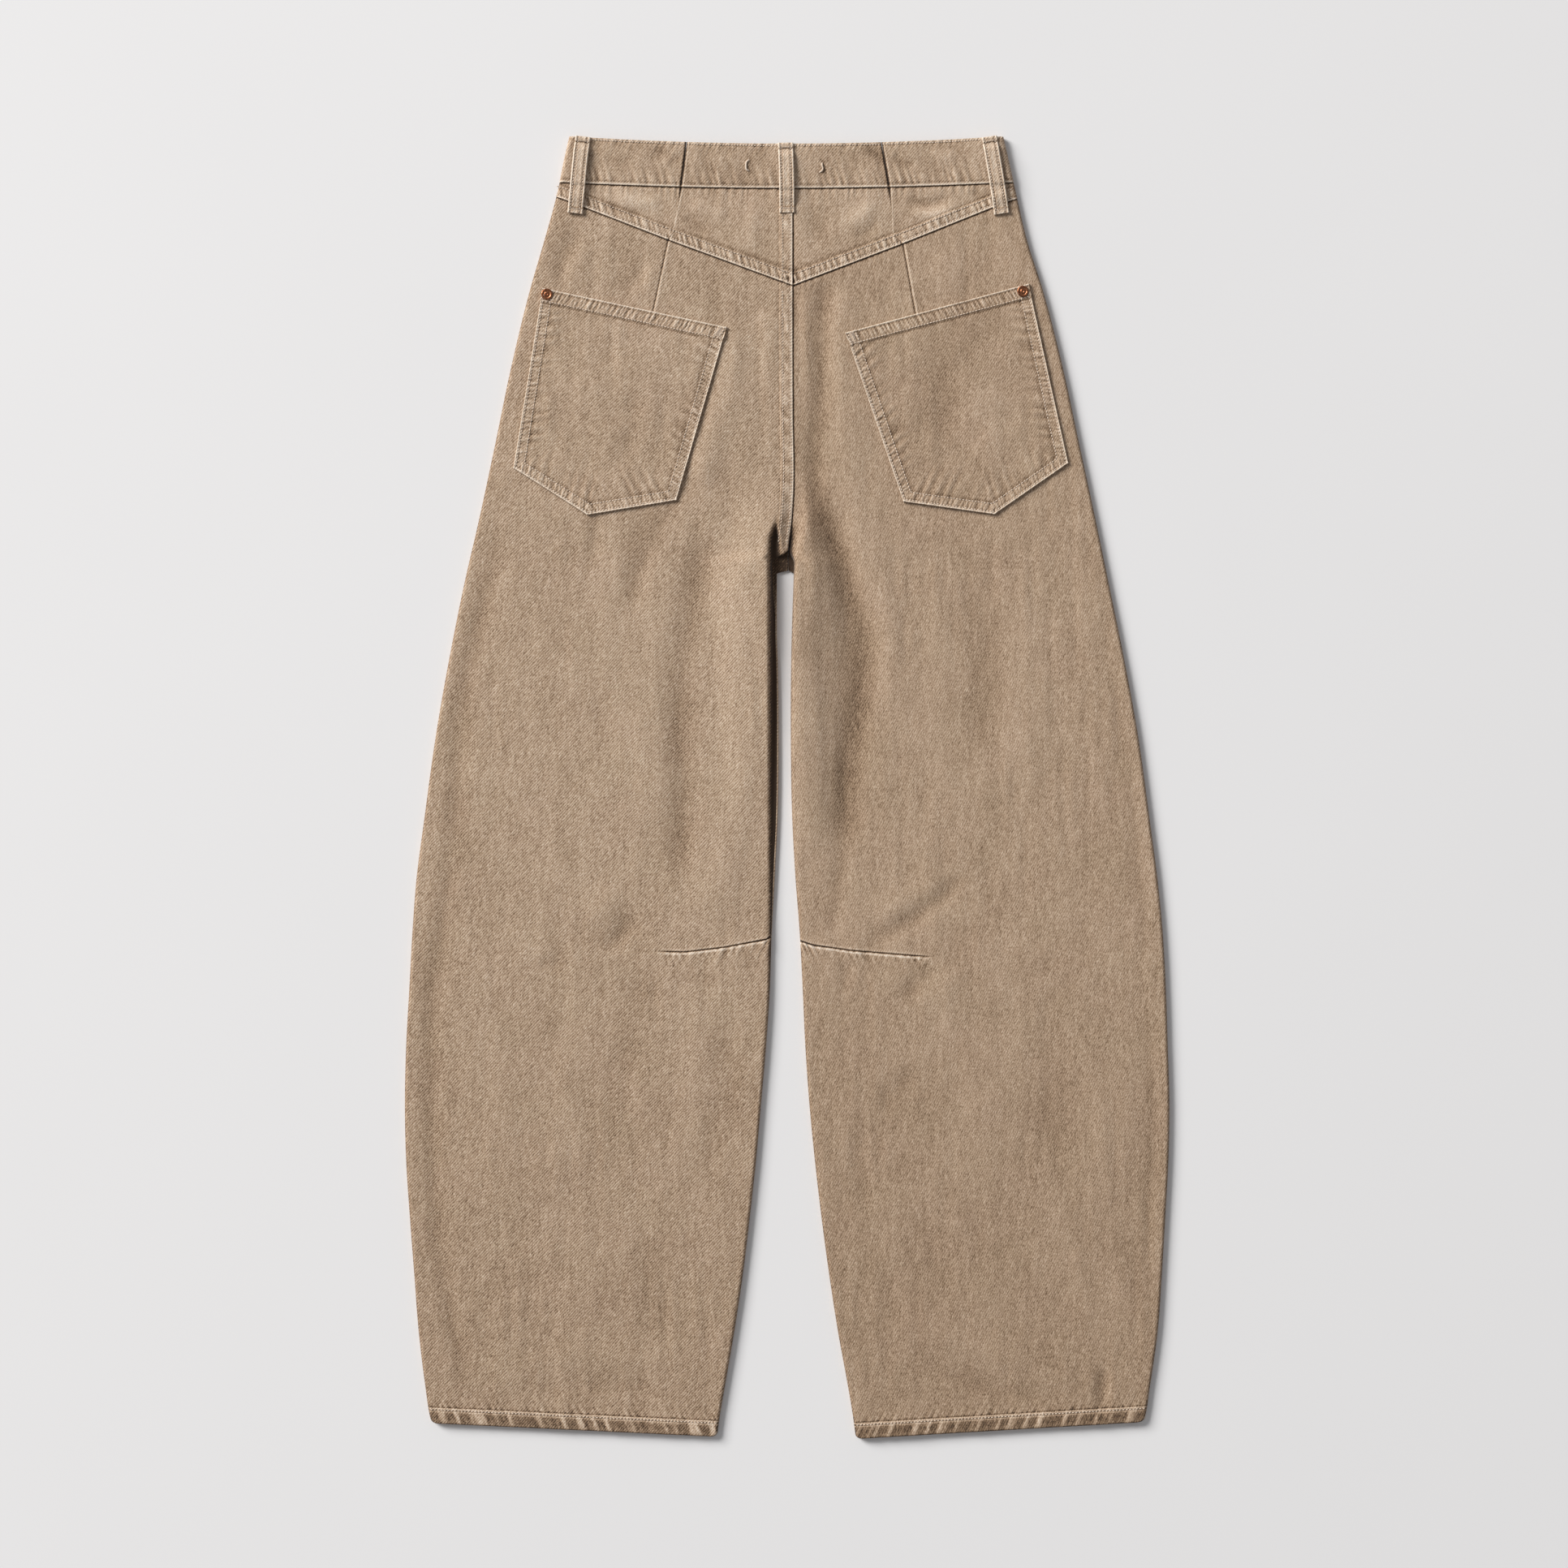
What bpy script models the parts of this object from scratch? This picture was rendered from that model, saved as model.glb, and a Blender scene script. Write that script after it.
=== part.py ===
"""Barrel leg trousers in washed denim, laid flat with the back up.

+X runs to the right of the photo, +Y to the waist and +Z up from the surface
that the trousers lie on. The origin is below the middle of the whole garment.
All sizes are in millimetres and become metres when a mesh is made. Each piece
of cloth is a closed wall with an outer and an inner side. Pieces stand
SEAM_GAP apart where the real ones are sewn together.
"""
import math
from collections import namedtuple

import bpy
import numpy as np

MM = 0.001

# The cloth and how it lies
WALL = 1.2
SEAM_GAP = 0.3
LEG_HEIGHT = 5.2
ROLL_WIDTH = 2.8
SEAM_LEVEL = LEG_HEIGHT / 2
FOLD_FADE = 14.0

# Seams and hems
HEM_WIDTH = 12.5
HEM_RISE = 0.5
LAP_WIDTH = 10.4
LAP_RISE = 0.5

# Waistband, 38 mm wide and two layers thick
BAND_WALL = 2.4
BAND_RISE = 1.0
BAND_TOP = 515.5
BAND_TOP_CURVE = 6.2
BAND_SEAM = 479.7
BAND_SEAM_CURVE = 4.6
BAND_HALF_WIDTH = 180.0
FRONT_DIP = 24.0

# Crotch, where each layer parts into two legs. The back panels are level at
# the centre seam above LEVEL_SEAT and roll down toward the crotch.
BACK_CROTCH = 185.0
FRONT_CROTCH = 172.5
CROTCH_SPAN = 6.0
LEVEL_SEAT = 320.0

# Heights of the panels' uppermost rows before they bend to their seams
YOKE_LEVEL = 421.0
WAIST_LEVEL = 466.0
BEND_END = 250.0

# Knee darts
KNEE_HEIGHT = -132.0
DART_DEPTH = 0.9
DART_WIDTH = 2.6

# Belt loops, pockets, rivets, fly and button
LOOP_WIDTH = 12.2
LOOP_STAND = 1.9
LOOP_WALL = 1.3
LOOP_END = 4.5
POCKET_HEM = 11.5
POCKET_POINT = 0.46
RIVET_RADIUS = 4.6
RIVET_HEIGHT = 1.4
FLY_WIDTH = 36.0
FLY_LENGTH = 150.0
BUTTON_RADIUS = 8.5
BUTTON_HEIGHT = 1.3
BUTTON_OFFSET = 16.0

# Outline of the two legs, from the waist down to the hems. Above the crotch
# the inner edges follow the centre seam instead.
Section = namedtuple("Section", "height left_outer left_inner right_inner right_outer")
SECTIONS = [
    Section(522.0, -174.5, -12.5, 4.8, 173.0),
    Section(500.0, -179.5, -12.5, 4.8, 178.0),
    Section(480.0, -183.5, -12.5, 4.8, 182.5),
    Section(435.5, -195.5, -12.5, 4.8, 193.0),
    Section(403.0, -205.0, -12.5, 4.8, 203.5),
    Section(338.0, -221.0, -12.5, 4.8, 220.5),
    Section(273.0, -234.5, -12.5, 5.5, 234.5),
    Section(208.0, -248.5, -12.5, 6.5, 248.5),
    Section(171.5, -257.0, -12.0, 5.2, 256.0),
    Section(110.5, -269.5, -8.0, 3.3, 268.5),
    Section(42.5, -281.5, -7.0, 2.8, 281.0),
    Section(-26.0, -291.0, -7.8, 4.0, 290.5),
    Section(-71.5, -297.0, -10.0, 6.5, 296.5),
    Section(-117.0, -300.5, -12.5, 10.0, 301.0),
    Section(-162.5, -303.0, -14.0, 12.4, 303.5),
    Section(-208.0, -305.5, -17.0, 14.5, 305.0),
    Section(-253.5, -306.5, -21.0, 17.7, 306.3),
    Section(-299.0, -305.5, -25.0, 22.1, 305.5),
    Section(-344.5, -302.5, -30.0, 27.4, 303.0),
    Section(-390.0, -299.0, -35.5, 33.5, 300.3),
    Section(-435.5, -295.5, -42.3, 40.5, 297.0),
    Section(-481.0, -290.0, -50.1, 48.8, 290.6),
    Section(-503.8, -286.5, -54.0, 52.6, 287.0),
    Section(-522.0, -281.5, -56.5, 55.0, 281.5),
]

# The centre back seam, from the waist down to the crotch
SeamPoint = namedtuple("SeamPoint", "height across")
CENTRE_SEAM = [
    SeamPoint(520.0, 4.5),
    SeamPoint(300.0, 4.8),
    SeamPoint(236.0, 5.2),
    SeamPoint(212.0, 3.6),
    SeamPoint(192.0, 1.0),
    SeamPoint(160.0, 1.0),
]

# Lower seam of the yoke, a wide V with a small step at each dart
YokePoint = namedtuple("YokePoint", "across height")
YOKE_SEAM = [
    YokePoint(-210.0, 480.5),
    YokePoint(-184.0, 472.5),
    YokePoint(-96.0, 438.5),
    YokePoint(4.6, 401.7),
    YokePoint(93.5, 435.5),
    YokePoint(177.0, 469.0),
    YokePoint(210.0, 479.0),
]

# Seam that runs down through the waistband and the yoke on each side
DartSeam = namedtuple("DartSeam", "band_top band_seam yoke_seam")
DART_LEFT = DartSeam(-80.6, -85.2, -95.2)
DART_RIGHT = DartSeam(75.4, 81.6, 91.9)

# Hems: height of the lower edge under the outer and the inner side of a leg
Hem = namedtuple("Hem", "outer inner")
HEM_LEFT = Hem(-509.5, -520.3)
HEM_RIGHT = Hem(-508.5, -522.0)

# Knee darts, as the height above KNEE_HEIGHT at distances from the leg's
# inner edge
DartPoint = namedtuple("DartPoint", "inward rise")
KNEE_DARTS = {
    "left": [DartPoint(0.0, 13.0), DartPoint(4.5, 10.0), DartPoint(39.0, 3.6),
             DartPoint(69.0, 0.0), DartPoint(95.0, 0.5)],
    "right": [DartPoint(0.0, 9.0), DartPoint(10.0, 5.6), DartPoint(41.0, 1.2),
              DartPoint(90.0, -2.8), DartPoint(108.0, -4.0)],
}

# Largest folds of the upper layer: middle, direction from +X in degrees,
# half length, half width and height, which is negative for a trough
Fold = namedtuple("Fold", "across height turn half_length half_width rise")
FOLDS = [
    Fold(-52.0, 105.0, 86.0, 150.0, 15.0, -1.1),
    Fold(-22.0, 110.0, 90.0, 170.0, 11.0, 1.1),
    Fold(-95.0, 60.0, 82.0, 190.0, 24.0, 0.7),
    Fold(-262.0, 20.0, 78.0, 210.0, 10.0, -0.6),
    Fold(-230.0, -60.0, 85.0, 180.0, 18.0, 0.7),
    Fold(-145.0, -125.0, 62.0, 75.0, 17.0, 0.9),
    Fold(-170.0, -300.0, 92.0, 150.0, 30.0, 0.8),
    Fold(-90.0, -330.0, 80.0, 150.0, 20.0, -0.7),
    Fold(-250.0, -390.0, 98.0, 110.0, 18.0, -0.6),
    Fold(-120.0, -445.0, 76.0, 60.0, 13.0, 0.7),
    Fold(56.0, 110.0, 96.0, 130.0, 15.0, -1.2),
    Fold(25.0, 110.0, 91.0, 160.0, 11.0, 1.2),
    Fold(105.0, 60.0, 97.0, 180.0, 24.0, 0.7),
    Fold(250.0, 60.0, 102.0, 190.0, 12.0, -0.6),
    Fold(225.0, -70.0, 95.0, 170.0, 19.0, 0.7),
    Fold(118.0, -92.0, 128.0, 70.0, 16.0, 0.9),
    Fold(165.0, -290.0, 88.0, 150.0, 28.0, 0.8),
    Fold(92.0, -320.0, 100.0, 150.0, 20.0, -0.7),
    Fold(245.0, -390.0, 83.0, 110.0, 18.0, -0.6),
    Fold(125.0, -440.0, 103.0, 60.0, 13.0, 0.7),
]

# Back pockets, one corner after another round each outline
Pocket = namedtuple("Pocket", "top_outer top_inner bottom_inner point bottom_outer")
POCKETS = {
    "left": Pocket((-196.0, 400.0), (-48.2, 368.5), (-88.6, 229.7),
                   (-160.0, 217.8), (-219.5, 255.5)),
    "right": Pocket((193.3, 403.4), (46.2, 364.0), (92.7, 228.5),
                    (166.0, 218.3), (225.2, 259.4)),
}
RIVETS = {"left": (-192.4, 394.5), "right": (188.5, 396.8)}

# Belt loops: middle of the upper end and of the lower end
Loop = namedtuple("Loop", "top bottom")
LOOPS = {
    "left": Loop((-163.2, 520.8), (-170.3, 459.5)),
    "centre": Loop((-1.3, 515.8), (-0.3, 460.0)),
    "right": Loop((162.0, 520.8), (171.3, 459.0)),
}

# Colours in linear light
CLOTH = (0.37, 0.26, 0.18)
COPPER = (0.42, 0.20, 0.11)


def clear_scene():
    for thing in list(bpy.data.objects):
        bpy.data.objects.remove(thing)


def material(name, colour, roughness, metallic):
    made = bpy.data.materials.new(name)
    made.use_nodes = True
    shader = made.node_tree.nodes["Principled BSDF"]
    shader.inputs["Base Color"].default_value = (*colour, 1.0)
    shader.inputs["Roughness"].default_value = roughness
    shader.inputs["Metallic"].default_value = metallic
    return made


def smooth(value, start, end):
    """Rise evenly from 0 at start to 1 at end, with level ends."""
    part = np.clip((value - start) / (end - start), 0.0, 1.0)
    return part * part * (3.0 - 2.0 * part)


def spline(where, knots, values):
    """Smooth curve through knots, which increase, and their values."""
    knots = np.asarray(knots, float)
    values = np.asarray(values, float)
    slopes = np.gradient(values, knots)
    where = np.clip(where, knots[0], knots[-1])
    i = np.clip(np.searchsorted(knots, where) - 1, 0, len(knots) - 2)
    step = knots[i + 1] - knots[i]
    t = (where - knots[i]) / step
    return (
        (1 + 2 * t) * (1 - t) ** 2 * values[i]
        + t * (1 - t) ** 2 * step * slopes[i]
        + t * t * (3 - 2 * t) * values[i + 1]
        + t * t * (t - 1) * step * slopes[i + 1]
    )


def leg_edge(column, height):
    rows = SECTIONS[::-1]
    return spline(height, [row.height for row in rows], [getattr(row, column) for row in rows])


def centre_seam(height):
    rows = CENTRE_SEAM[::-1]
    return spline(height, [row.height for row in rows], [row.across for row in rows])


def band_top(across):
    return BAND_TOP + BAND_TOP_CURVE * (across / BAND_HALF_WIDTH) ** 2


def band_seam(across):
    return BAND_SEAM + BAND_SEAM_CURVE * (across / BAND_HALF_WIDTH) ** 2


def front_dip(across):
    """How far the front of the waist lies below the back of it."""
    return FRONT_DIP * (1.0 - smooth(np.abs(across), 0.0, BAND_HALF_WIDTH))


def yoke_seam(across):
    return np.interp(across, [p.across for p in YOKE_SEAM], [p.height for p in YOKE_SEAM])


def in_band(seam, down):
    """Place of a dart seam across the waistband, down from its top edge."""
    return seam.band_top + (seam.band_seam - seam.band_top) * down


def in_yoke(seam, down):
    """Place of a dart seam across the yoke, down from the waistband."""
    return seam.band_seam + (seam.yoke_seam - seam.band_seam) * down


def outer_edge(side, height):
    return leg_edge(side + "_outer", height)


def inner_edge(side, height, crotch):
    """Centre seam above the crotch and inside leg below it."""
    toward = -1.0 if side == "left" else 1.0
    seam = centre_seam(height) + toward * SEAM_GAP / 2
    leg = leg_edge(side + "_inner", height)
    above = smooth(height, crotch - CROTCH_SPAN, crotch + CROTCH_SPAN)
    return leg + (seam - leg) * above


def hem_edge(side, across):
    """Height of a leg's lower edge, a slanted line with round corners."""
    hem = HEM_LEFT if side == "left" else HEM_RIGHT
    outer = outer_edge(side, hem.outer)
    inner = leg_edge(side + "_inner", hem.inner)
    return hem.outer + (hem.inner - hem.outer) * (across - outer) / (inner - outer)


def folds(across, height):
    """Height of the cloth over its level form."""
    total = np.zeros_like(across)
    for fold in FOLDS:
        turn = math.radians(fold.turn)
        dx = across - fold.across
        dy = height - fold.height
        along = dx * math.cos(turn) + dy * math.sin(turn)
        beside = dy * math.cos(turn) - dx * math.sin(turn)
        length = 1.0 - smooth(np.abs(along), 0.35 * fold.half_length, fold.half_length)
        total += fold.rise * length * np.exp(-((beside / fold.half_width) ** 2))
    return total


def knee_rise(side, inward):
    points = KNEE_DARTS[side]
    return np.interp(inward, [p.inward for p in points], [p.rise for p in points])


def closed_wall(name, outer, inner, look):
    """Join an outer and an inner grid of points into one closed wall."""
    rows, columns = outer.shape[:2]
    points = np.concatenate([outer.reshape(-1, 3), inner.reshape(-1, 3)]) * MM
    index = np.arange(rows * columns).reshape(rows, columns)
    back = index + rows * columns
    faces = []
    for r in range(rows - 1):
        for c in range(columns - 1):
            faces.append((index[r, c], index[r, c + 1], index[r + 1, c + 1], index[r + 1, c]))
            faces.append((back[r, c], back[r + 1, c], back[r + 1, c + 1], back[r, c + 1]))
    rim = list(index[0, :]) + list(index[1:, -1]) + list(index[-1, -2::-1]) + list(index[-2:0:-1, 0])
    for a, b in zip(rim, rim[1:] + rim[:1]):
        faces.append((b, a, a + rows * columns, b + rows * columns))
    return solid(name, points, faces, look)


def solid(name, points, faces, look):
    """Make a mesh object with its faces pointing out."""
    points = np.asarray(points, float)
    volume = 0.0
    for face in faces:
        a = points[face[0]]
        for b, c in zip(face[1:-1], face[2:]):
            volume += np.dot(a, np.cross(points[b], points[c]))
    if volume < 0.0:
        faces = [tuple(reversed(face)) for face in faces]
    mesh = bpy.data.meshes.new(name)
    mesh.from_pydata(points.tolist(), [], [tuple(int(i) for i in face) for face in faces])
    mesh.update()
    mesh.shade_smooth()
    mesh.set_sharp_from_angle(angle=math.radians(40.0))
    mesh.materials.append(look)
    made = bpy.data.objects.new(name, mesh)
    bpy.context.scene.collection.objects.link(made)
    return made


def roll_angles(count):
    return np.radians(np.linspace(0.0, 90.0, count, endpoint=False))


class Columns:
    """Where the columns of a grid lie between two edges.

    The first and the last few follow the rolled edges, as angles. The others
    lie between them, as fractions of the width.
    """

    def __init__(self, start_roll, end_roll, fractions):
        start = roll_angles(start_roll)
        end = roll_angles(end_roll)[::-1]
        self.start = np.concatenate([start, np.full(len(fractions) + len(end), math.pi / 2)])
        self.end = np.concatenate([np.full(len(start) + len(fractions), math.pi / 2), end])
        self.fraction = np.concatenate([np.zeros(len(start)), fractions, np.ones(len(end))])


def lay_across(columns, start, end, start_roll, end_roll):
    """Place one row of points from edge to edge.

    start and end are the edges' places along X. A roll of 1 turns the edge
    down to the level of the side seam, and 0 leaves it level. The result
    holds the places along X and the drop of each point, for the outer side
    and then for the inner side of the wall.
    """
    toward = 1.0 if end > start else -1.0
    sides = []
    for depth in (0.0, WALL):
        x_start = start + toward * (start_roll * depth)
        x_end = end - toward * (end_roll * depth)
        width_start = ROLL_WIDTH - start_roll * depth
        width_end = ROLL_WIDTH - end_roll * depth
        full_drop = LEG_HEIGHT - SEAM_LEVEL - SEAM_GAP / 2
        drop_start = start_roll * (full_drop - depth)
        drop_end = end_roll * (full_drop - depth)
        left = x_start + toward * width_start
        right = x_end - toward * width_end
        x = left + (right - left) * columns.fraction
        x = x - toward * width_start * np.cos(columns.start)
        x = x + toward * width_end * np.cos(columns.end)
        drop = drop_start * (1 - np.sin(columns.start)) + drop_end * (1 - np.sin(columns.end))
        sides.append((x, drop))
    return sides


def edge_fade(across, start, end, end_roll):
    """Folds die out toward the rolled edges."""
    near_start = smooth(np.abs(across - start), 1.0, FOLD_FADE)
    near_end = smooth(np.abs(across - end), 1.0, FOLD_FADE)
    return near_start * (1.0 - end_roll + end_roll * near_end)


def bend_row(side, nominal, across, inner, top, top_level):
    """Bend a level row toward the upper seam, the knee dart and the hem."""
    hem = HEM_LEFT if side == "left" else HEM_RIGHT
    hem_level = (hem.outer + hem.inner) / 2
    near_top = smooth(nominal, BEND_END, top_level)
    near_knee = 1.0 - smooth(abs(nominal - KNEE_HEIGHT), 8.0, 80.0)
    near_hem = 1.0 - smooth(nominal, hem_level, -400.0)
    return (
        nominal
        + near_top * (top(across) - top_level)
        + near_knee * knee_rise(side, np.abs(across - inner))
        + near_hem * (hem_edge(side, across) - hem_level)
    )


def row_ends(side, nominal, crotch, top, top_level):
    """Places of a bent row's two ends on the outline."""
    start = outer_edge(side, nominal)
    end = inner_edge(side, nominal, crotch)
    for _ in range(4):
        heights = bend_row(side, nominal, np.array([start, end]), end, top, top_level)
        start = float(outer_edge(side, heights[0]))
        end = float(inner_edge(side, heights[1], crotch))
    return start, end, float(heights[1])


def row_heights(side, top_level, seat_rows, leg_rows):
    """Heights of a panel's rows, close together at the crotch, dart and hem."""
    hem = HEM_LEFT if side == "left" else HEM_RIGHT
    hem_level = (hem.outer + hem.inner) / 2
    stretches = [
        np.linspace(top_level, 215.0, seat_rows, endpoint=False),
        np.array([208.0, 198.0, 191.0, 187.0, 183.0, 179.0, 175.0, 171.0, 167.0, 158.0]),
        np.linspace(140.0, KNEE_HEIGHT + 22.0, leg_rows),
        KNEE_HEIGHT + DART_WIDTH * np.array([2.4, 1.0, 0.0, -1.0, -2.4]),
        np.linspace(KNEE_HEIGHT - 24.0, hem_level + HEM_WIDTH + 12.0, leg_rows + 2),
        hem_level + np.array([HEM_WIDTH + 0.8, HEM_WIDTH - 0.4, 4.0, 0.0]),
    ]
    return np.concatenate(stretches)


def hem_rise(side, across, height):
    """1 within the turned hem and 0 above it."""
    return 1.0 - smooth(height - hem_edge(side, across), HEM_WIDTH - 0.6, HEM_WIDTH + 0.6)


def back_panel(side, look):
    """One back panel, from the yoke down to the hem, over the front panel."""
    fractions = np.concatenate([np.linspace(0.0, 0.9, 9), [0.945, 0.962, 1.0]])
    columns = Columns(4, 4, fractions)
    outer, inner = [], []

    def top(across):
        return yoke_seam(across) - SEAM_GAP / 2

    for nominal in row_heights(side, YOKE_LEVEL, 8, 7):
        start, end, end_height = row_ends(side, nominal, BACK_CROTCH, top, YOKE_LEVEL)
        roll = float(1.0 - smooth(end_height, BACK_CROTCH - 8.0, LEVEL_SEAT))
        sides = lay_across(columns, start, end, 1.0, roll)
        in_dart = float(1.0 - smooth(abs(nominal - KNEE_HEIGHT), 0.0, 1.5 * DART_WIDTH))
        for grid, (x, drop), depth in ((outer, sides[0], 0.0), (inner, sides[1], WALL)):
            y = bend_row(side, nominal, x, end, top, YOKE_LEVEL)
            lift = folds(x, y) * edge_fade(x, start, end, roll)
            dart_length = KNEE_DARTS[side][-1].inward
            dart = in_dart * (1.0 - smooth(np.abs(x - end), dart_length - 20.0, dart_length))
            dart = dart * smooth(np.abs(x - end), 2.0, 8.0)
            lift = lift - DART_DEPTH * dart
            hem = hem_rise(side, x, y)
            hem = hem * smooth(np.abs(x - start), 3.0, 9.0) * smooth(np.abs(x - end), 3.0, 9.0)
            if depth:
                lift = lift - (WALL - HEM_RISE) * hem
            else:
                lift = lift + HEM_RISE * hem
                if side == "left":
                    lap = 1.0 - smooth(np.abs(x - end), LAP_WIDTH - 1.0, LAP_WIDTH + 1.0)
                    lift = lift + LAP_RISE * lap * (1.0 - roll)
            z = LEG_HEIGHT - depth - drop + lift
            grid.append(np.stack([x, y, z], axis=1))
    return closed_wall("back_" + side, np.array(outer), np.array(inner), look)


def front_panel(side, look):
    """One front panel, from the waist to the hem, flat on the surface."""
    fractions = np.concatenate([np.linspace(0.0, 0.92, 7), [1.0]])
    columns = Columns(4, 4, fractions)
    outer, inner = [], []

    def top(across):
        return band_seam(across) - front_dip(across) - SEAM_GAP

    for nominal in row_heights(side, WAIST_LEVEL, 6, 5):
        start, end, end_height = row_ends(side, nominal, FRONT_CROTCH, top, WAIST_LEVEL)
        roll = float(1.0 - smooth(end_height, FRONT_CROTCH - CROTCH_SPAN, FRONT_CROTCH + 14.0))
        sides = lay_across(columns, start, end, 1.0, roll)
        for grid, (x, drop), depth in ((outer, sides[0], 0.0), (inner, sides[1], WALL)):
            y = bend_row(side, nominal, x, end, top, WAIST_LEVEL)
            z = depth + drop
            if depth:
                hem = hem_rise(side, x, y) * smooth(np.abs(x - start), 3.0, 9.0)
                z = z + WALL * hem * smooth(np.abs(x - end), 3.0, 9.0)
            grid.append(np.stack([x, y, np.broadcast_to(z, x.shape)], axis=1))
    return closed_wall("front_" + side, np.array(outer), np.array(inner), look)


def yoke_piece(name, start_edge, end_edge, rolled, look):
    """A piece of the yoke between the waistband and the back panels.

    start_edge and end_edge give its sides' places, down from 0 to 1.
    """
    fractions = np.concatenate([np.linspace(0.0, 0.85, 5), [0.91, 1.0]])
    columns = Columns(4 if rolled else 1, 1, fractions)
    outer, inner = [], []
    downs = np.array([0.0, 0.25, 0.5, 0.7, 0.8, 1.0])
    for down in downs:
        start = float(start_edge(down))
        end = float(end_edge(down))
        sides = lay_across(columns, start, end, 1.0 if rolled else 0.0, 0.0)
        for grid, (x, drop), depth in ((outer, sides[0], 0.0), (inner, sides[1], WALL)):
            top = band_seam(x) - SEAM_GAP / 2
            bottom = yoke_seam(x) + SEAM_GAP / 2
            y = top + (bottom - top) * down
            z = LEG_HEIGHT - depth - drop
            if not depth:
                lap = 1.0 - smooth(y - bottom, LAP_WIDTH - 1.0, LAP_WIDTH + 1.0)
                inside = smooth(np.abs(x - start), 3.0, 8.0) if rolled else 1.0
                z = z + LAP_RISE * lap * inside
            grid.append(np.stack([x, y, z], axis=1))
    return closed_wall(name, np.array(outer), np.array(inner), look)


def band_back(look):
    """The waistband's centre back piece."""
    top = LEG_HEIGHT + BAND_RISE
    outer, inner = [], []
    for down in (0.0, 0.12, 0.5, 0.88, 1.0):
        start = in_band(DART_LEFT, down) + SEAM_GAP / 2
        end = in_band(DART_RIGHT, down) - SEAM_GAP / 2
        x = np.linspace(start, end, 9)
        y = band_top(x) + (band_seam(x) + SEAM_GAP / 2 - band_top(x)) * down
        edge = 0.35 if down in (0.0, 1.0) else 0.0
        outer.append(np.stack([x, y, np.full_like(x, top - edge)], axis=1))
        inner.append(np.stack([x, y, np.full_like(x, top - BAND_WALL)], axis=1))
    return closed_wall("waistband_back", np.array(outer), np.array(inner), look)


def button_place():
    across = centre_seam(480.0) + BUTTON_OFFSET
    height = (band_top(across) + band_seam(across)) / 2 - front_dip(across)
    return float(across), float(height)


def button_dent(across, down):
    """How far the button presses the waistband in, down being 0 to 1."""
    along = np.abs(across - button_place()[0])
    upright = abs(down - 0.5) * (BAND_TOP - BAND_SEAM)
    reach = BUTTON_RADIUS + 1.0
    return (1.0 - smooth(along, reach, reach + 4.0)) * (1.0 - smooth(upright, reach, reach + 3.0))


def band_side(side, look):
    """The waistband from a back dart seam round the side to the centre front."""
    toward = -1.0 if side == "left" else 1.0
    seam = DART_LEFT if side == "left" else DART_RIGHT
    top = LEG_HEIGHT + BAND_RISE
    turns = np.radians(np.linspace(90.0, -90.0, 9))
    by_button = BUTTON_OFFSET + (BUTTON_RADIUS + 1.0) * np.array([1.45, 1.0, 0.0, -1.0, -1.45])
    outer, inner = [], []
    for down in (0.0, 0.14, 0.22, 0.5, 0.78, 0.86, 1.0):
        height = 521.0 + (484.3 - 521.0) * down
        edge = float(outer_edge(side, height))
        start = in_band(seam, down) + toward * SEAM_GAP / 2
        front = float(centre_seam(480.0)) + toward * SEAM_GAP / 2
        rounding = 0.3 if down in (0.0, 1.0) else 0.0
        for grid, depth in ((outer, 0.0), (inner, BAND_WALL)):
            reach = top / 2 - depth
            turn_x = edge - toward * top / 2
            back_x = np.linspace(start, turn_x, 6)[:-1]
            near_front = front + toward * by_button
            front_x = np.linspace(turn_x, near_front[0], 8)[1:-1]
            front_x = np.concatenate([front_x, near_front, [front]])
            x = np.concatenate([back_x, turn_x + toward * reach * np.cos(turns), front_x])
            z = np.concatenate([
                np.full(len(back_x), top - depth),
                top / 2 + reach * np.sin(turns),
                np.full(len(front_x), depth),
            ])
            on_front = np.concatenate([
                np.zeros(len(back_x)), (1 - np.sin(turns)) / 2, np.ones(len(front_x)),
            ])
            upper = band_top(x) - on_front * front_dip(x)
            lower = band_seam(x) + SEAM_GAP / 2 - on_front * front_dip(x)
            y = upper + (lower - upper) * down
            dent = button_dent(x, down) * on_front
            if depth:
                z = z + 0.7 * dent
            else:
                z = z - rounding * (1.0 - on_front) + (BUTTON_HEIGHT + SEAM_GAP) * dent
            grid.append(np.stack([x, y, z], axis=1))
    return closed_wall("waistband_" + side, np.array(outer), np.array(inner), look)


def base_height(across, height):
    """Outer surface below a belt loop: waistband, then yoke."""
    on_band = smooth(height, band_seam(across) - 1.6, band_seam(across) - 0.2)
    lap = 1.0 - smooth(height - yoke_seam(across), LAP_WIDTH - 2.0, LAP_WIDTH + 2.0)
    return LEG_HEIGHT + BAND_RISE * on_band + LAP_RISE * lap


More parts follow.
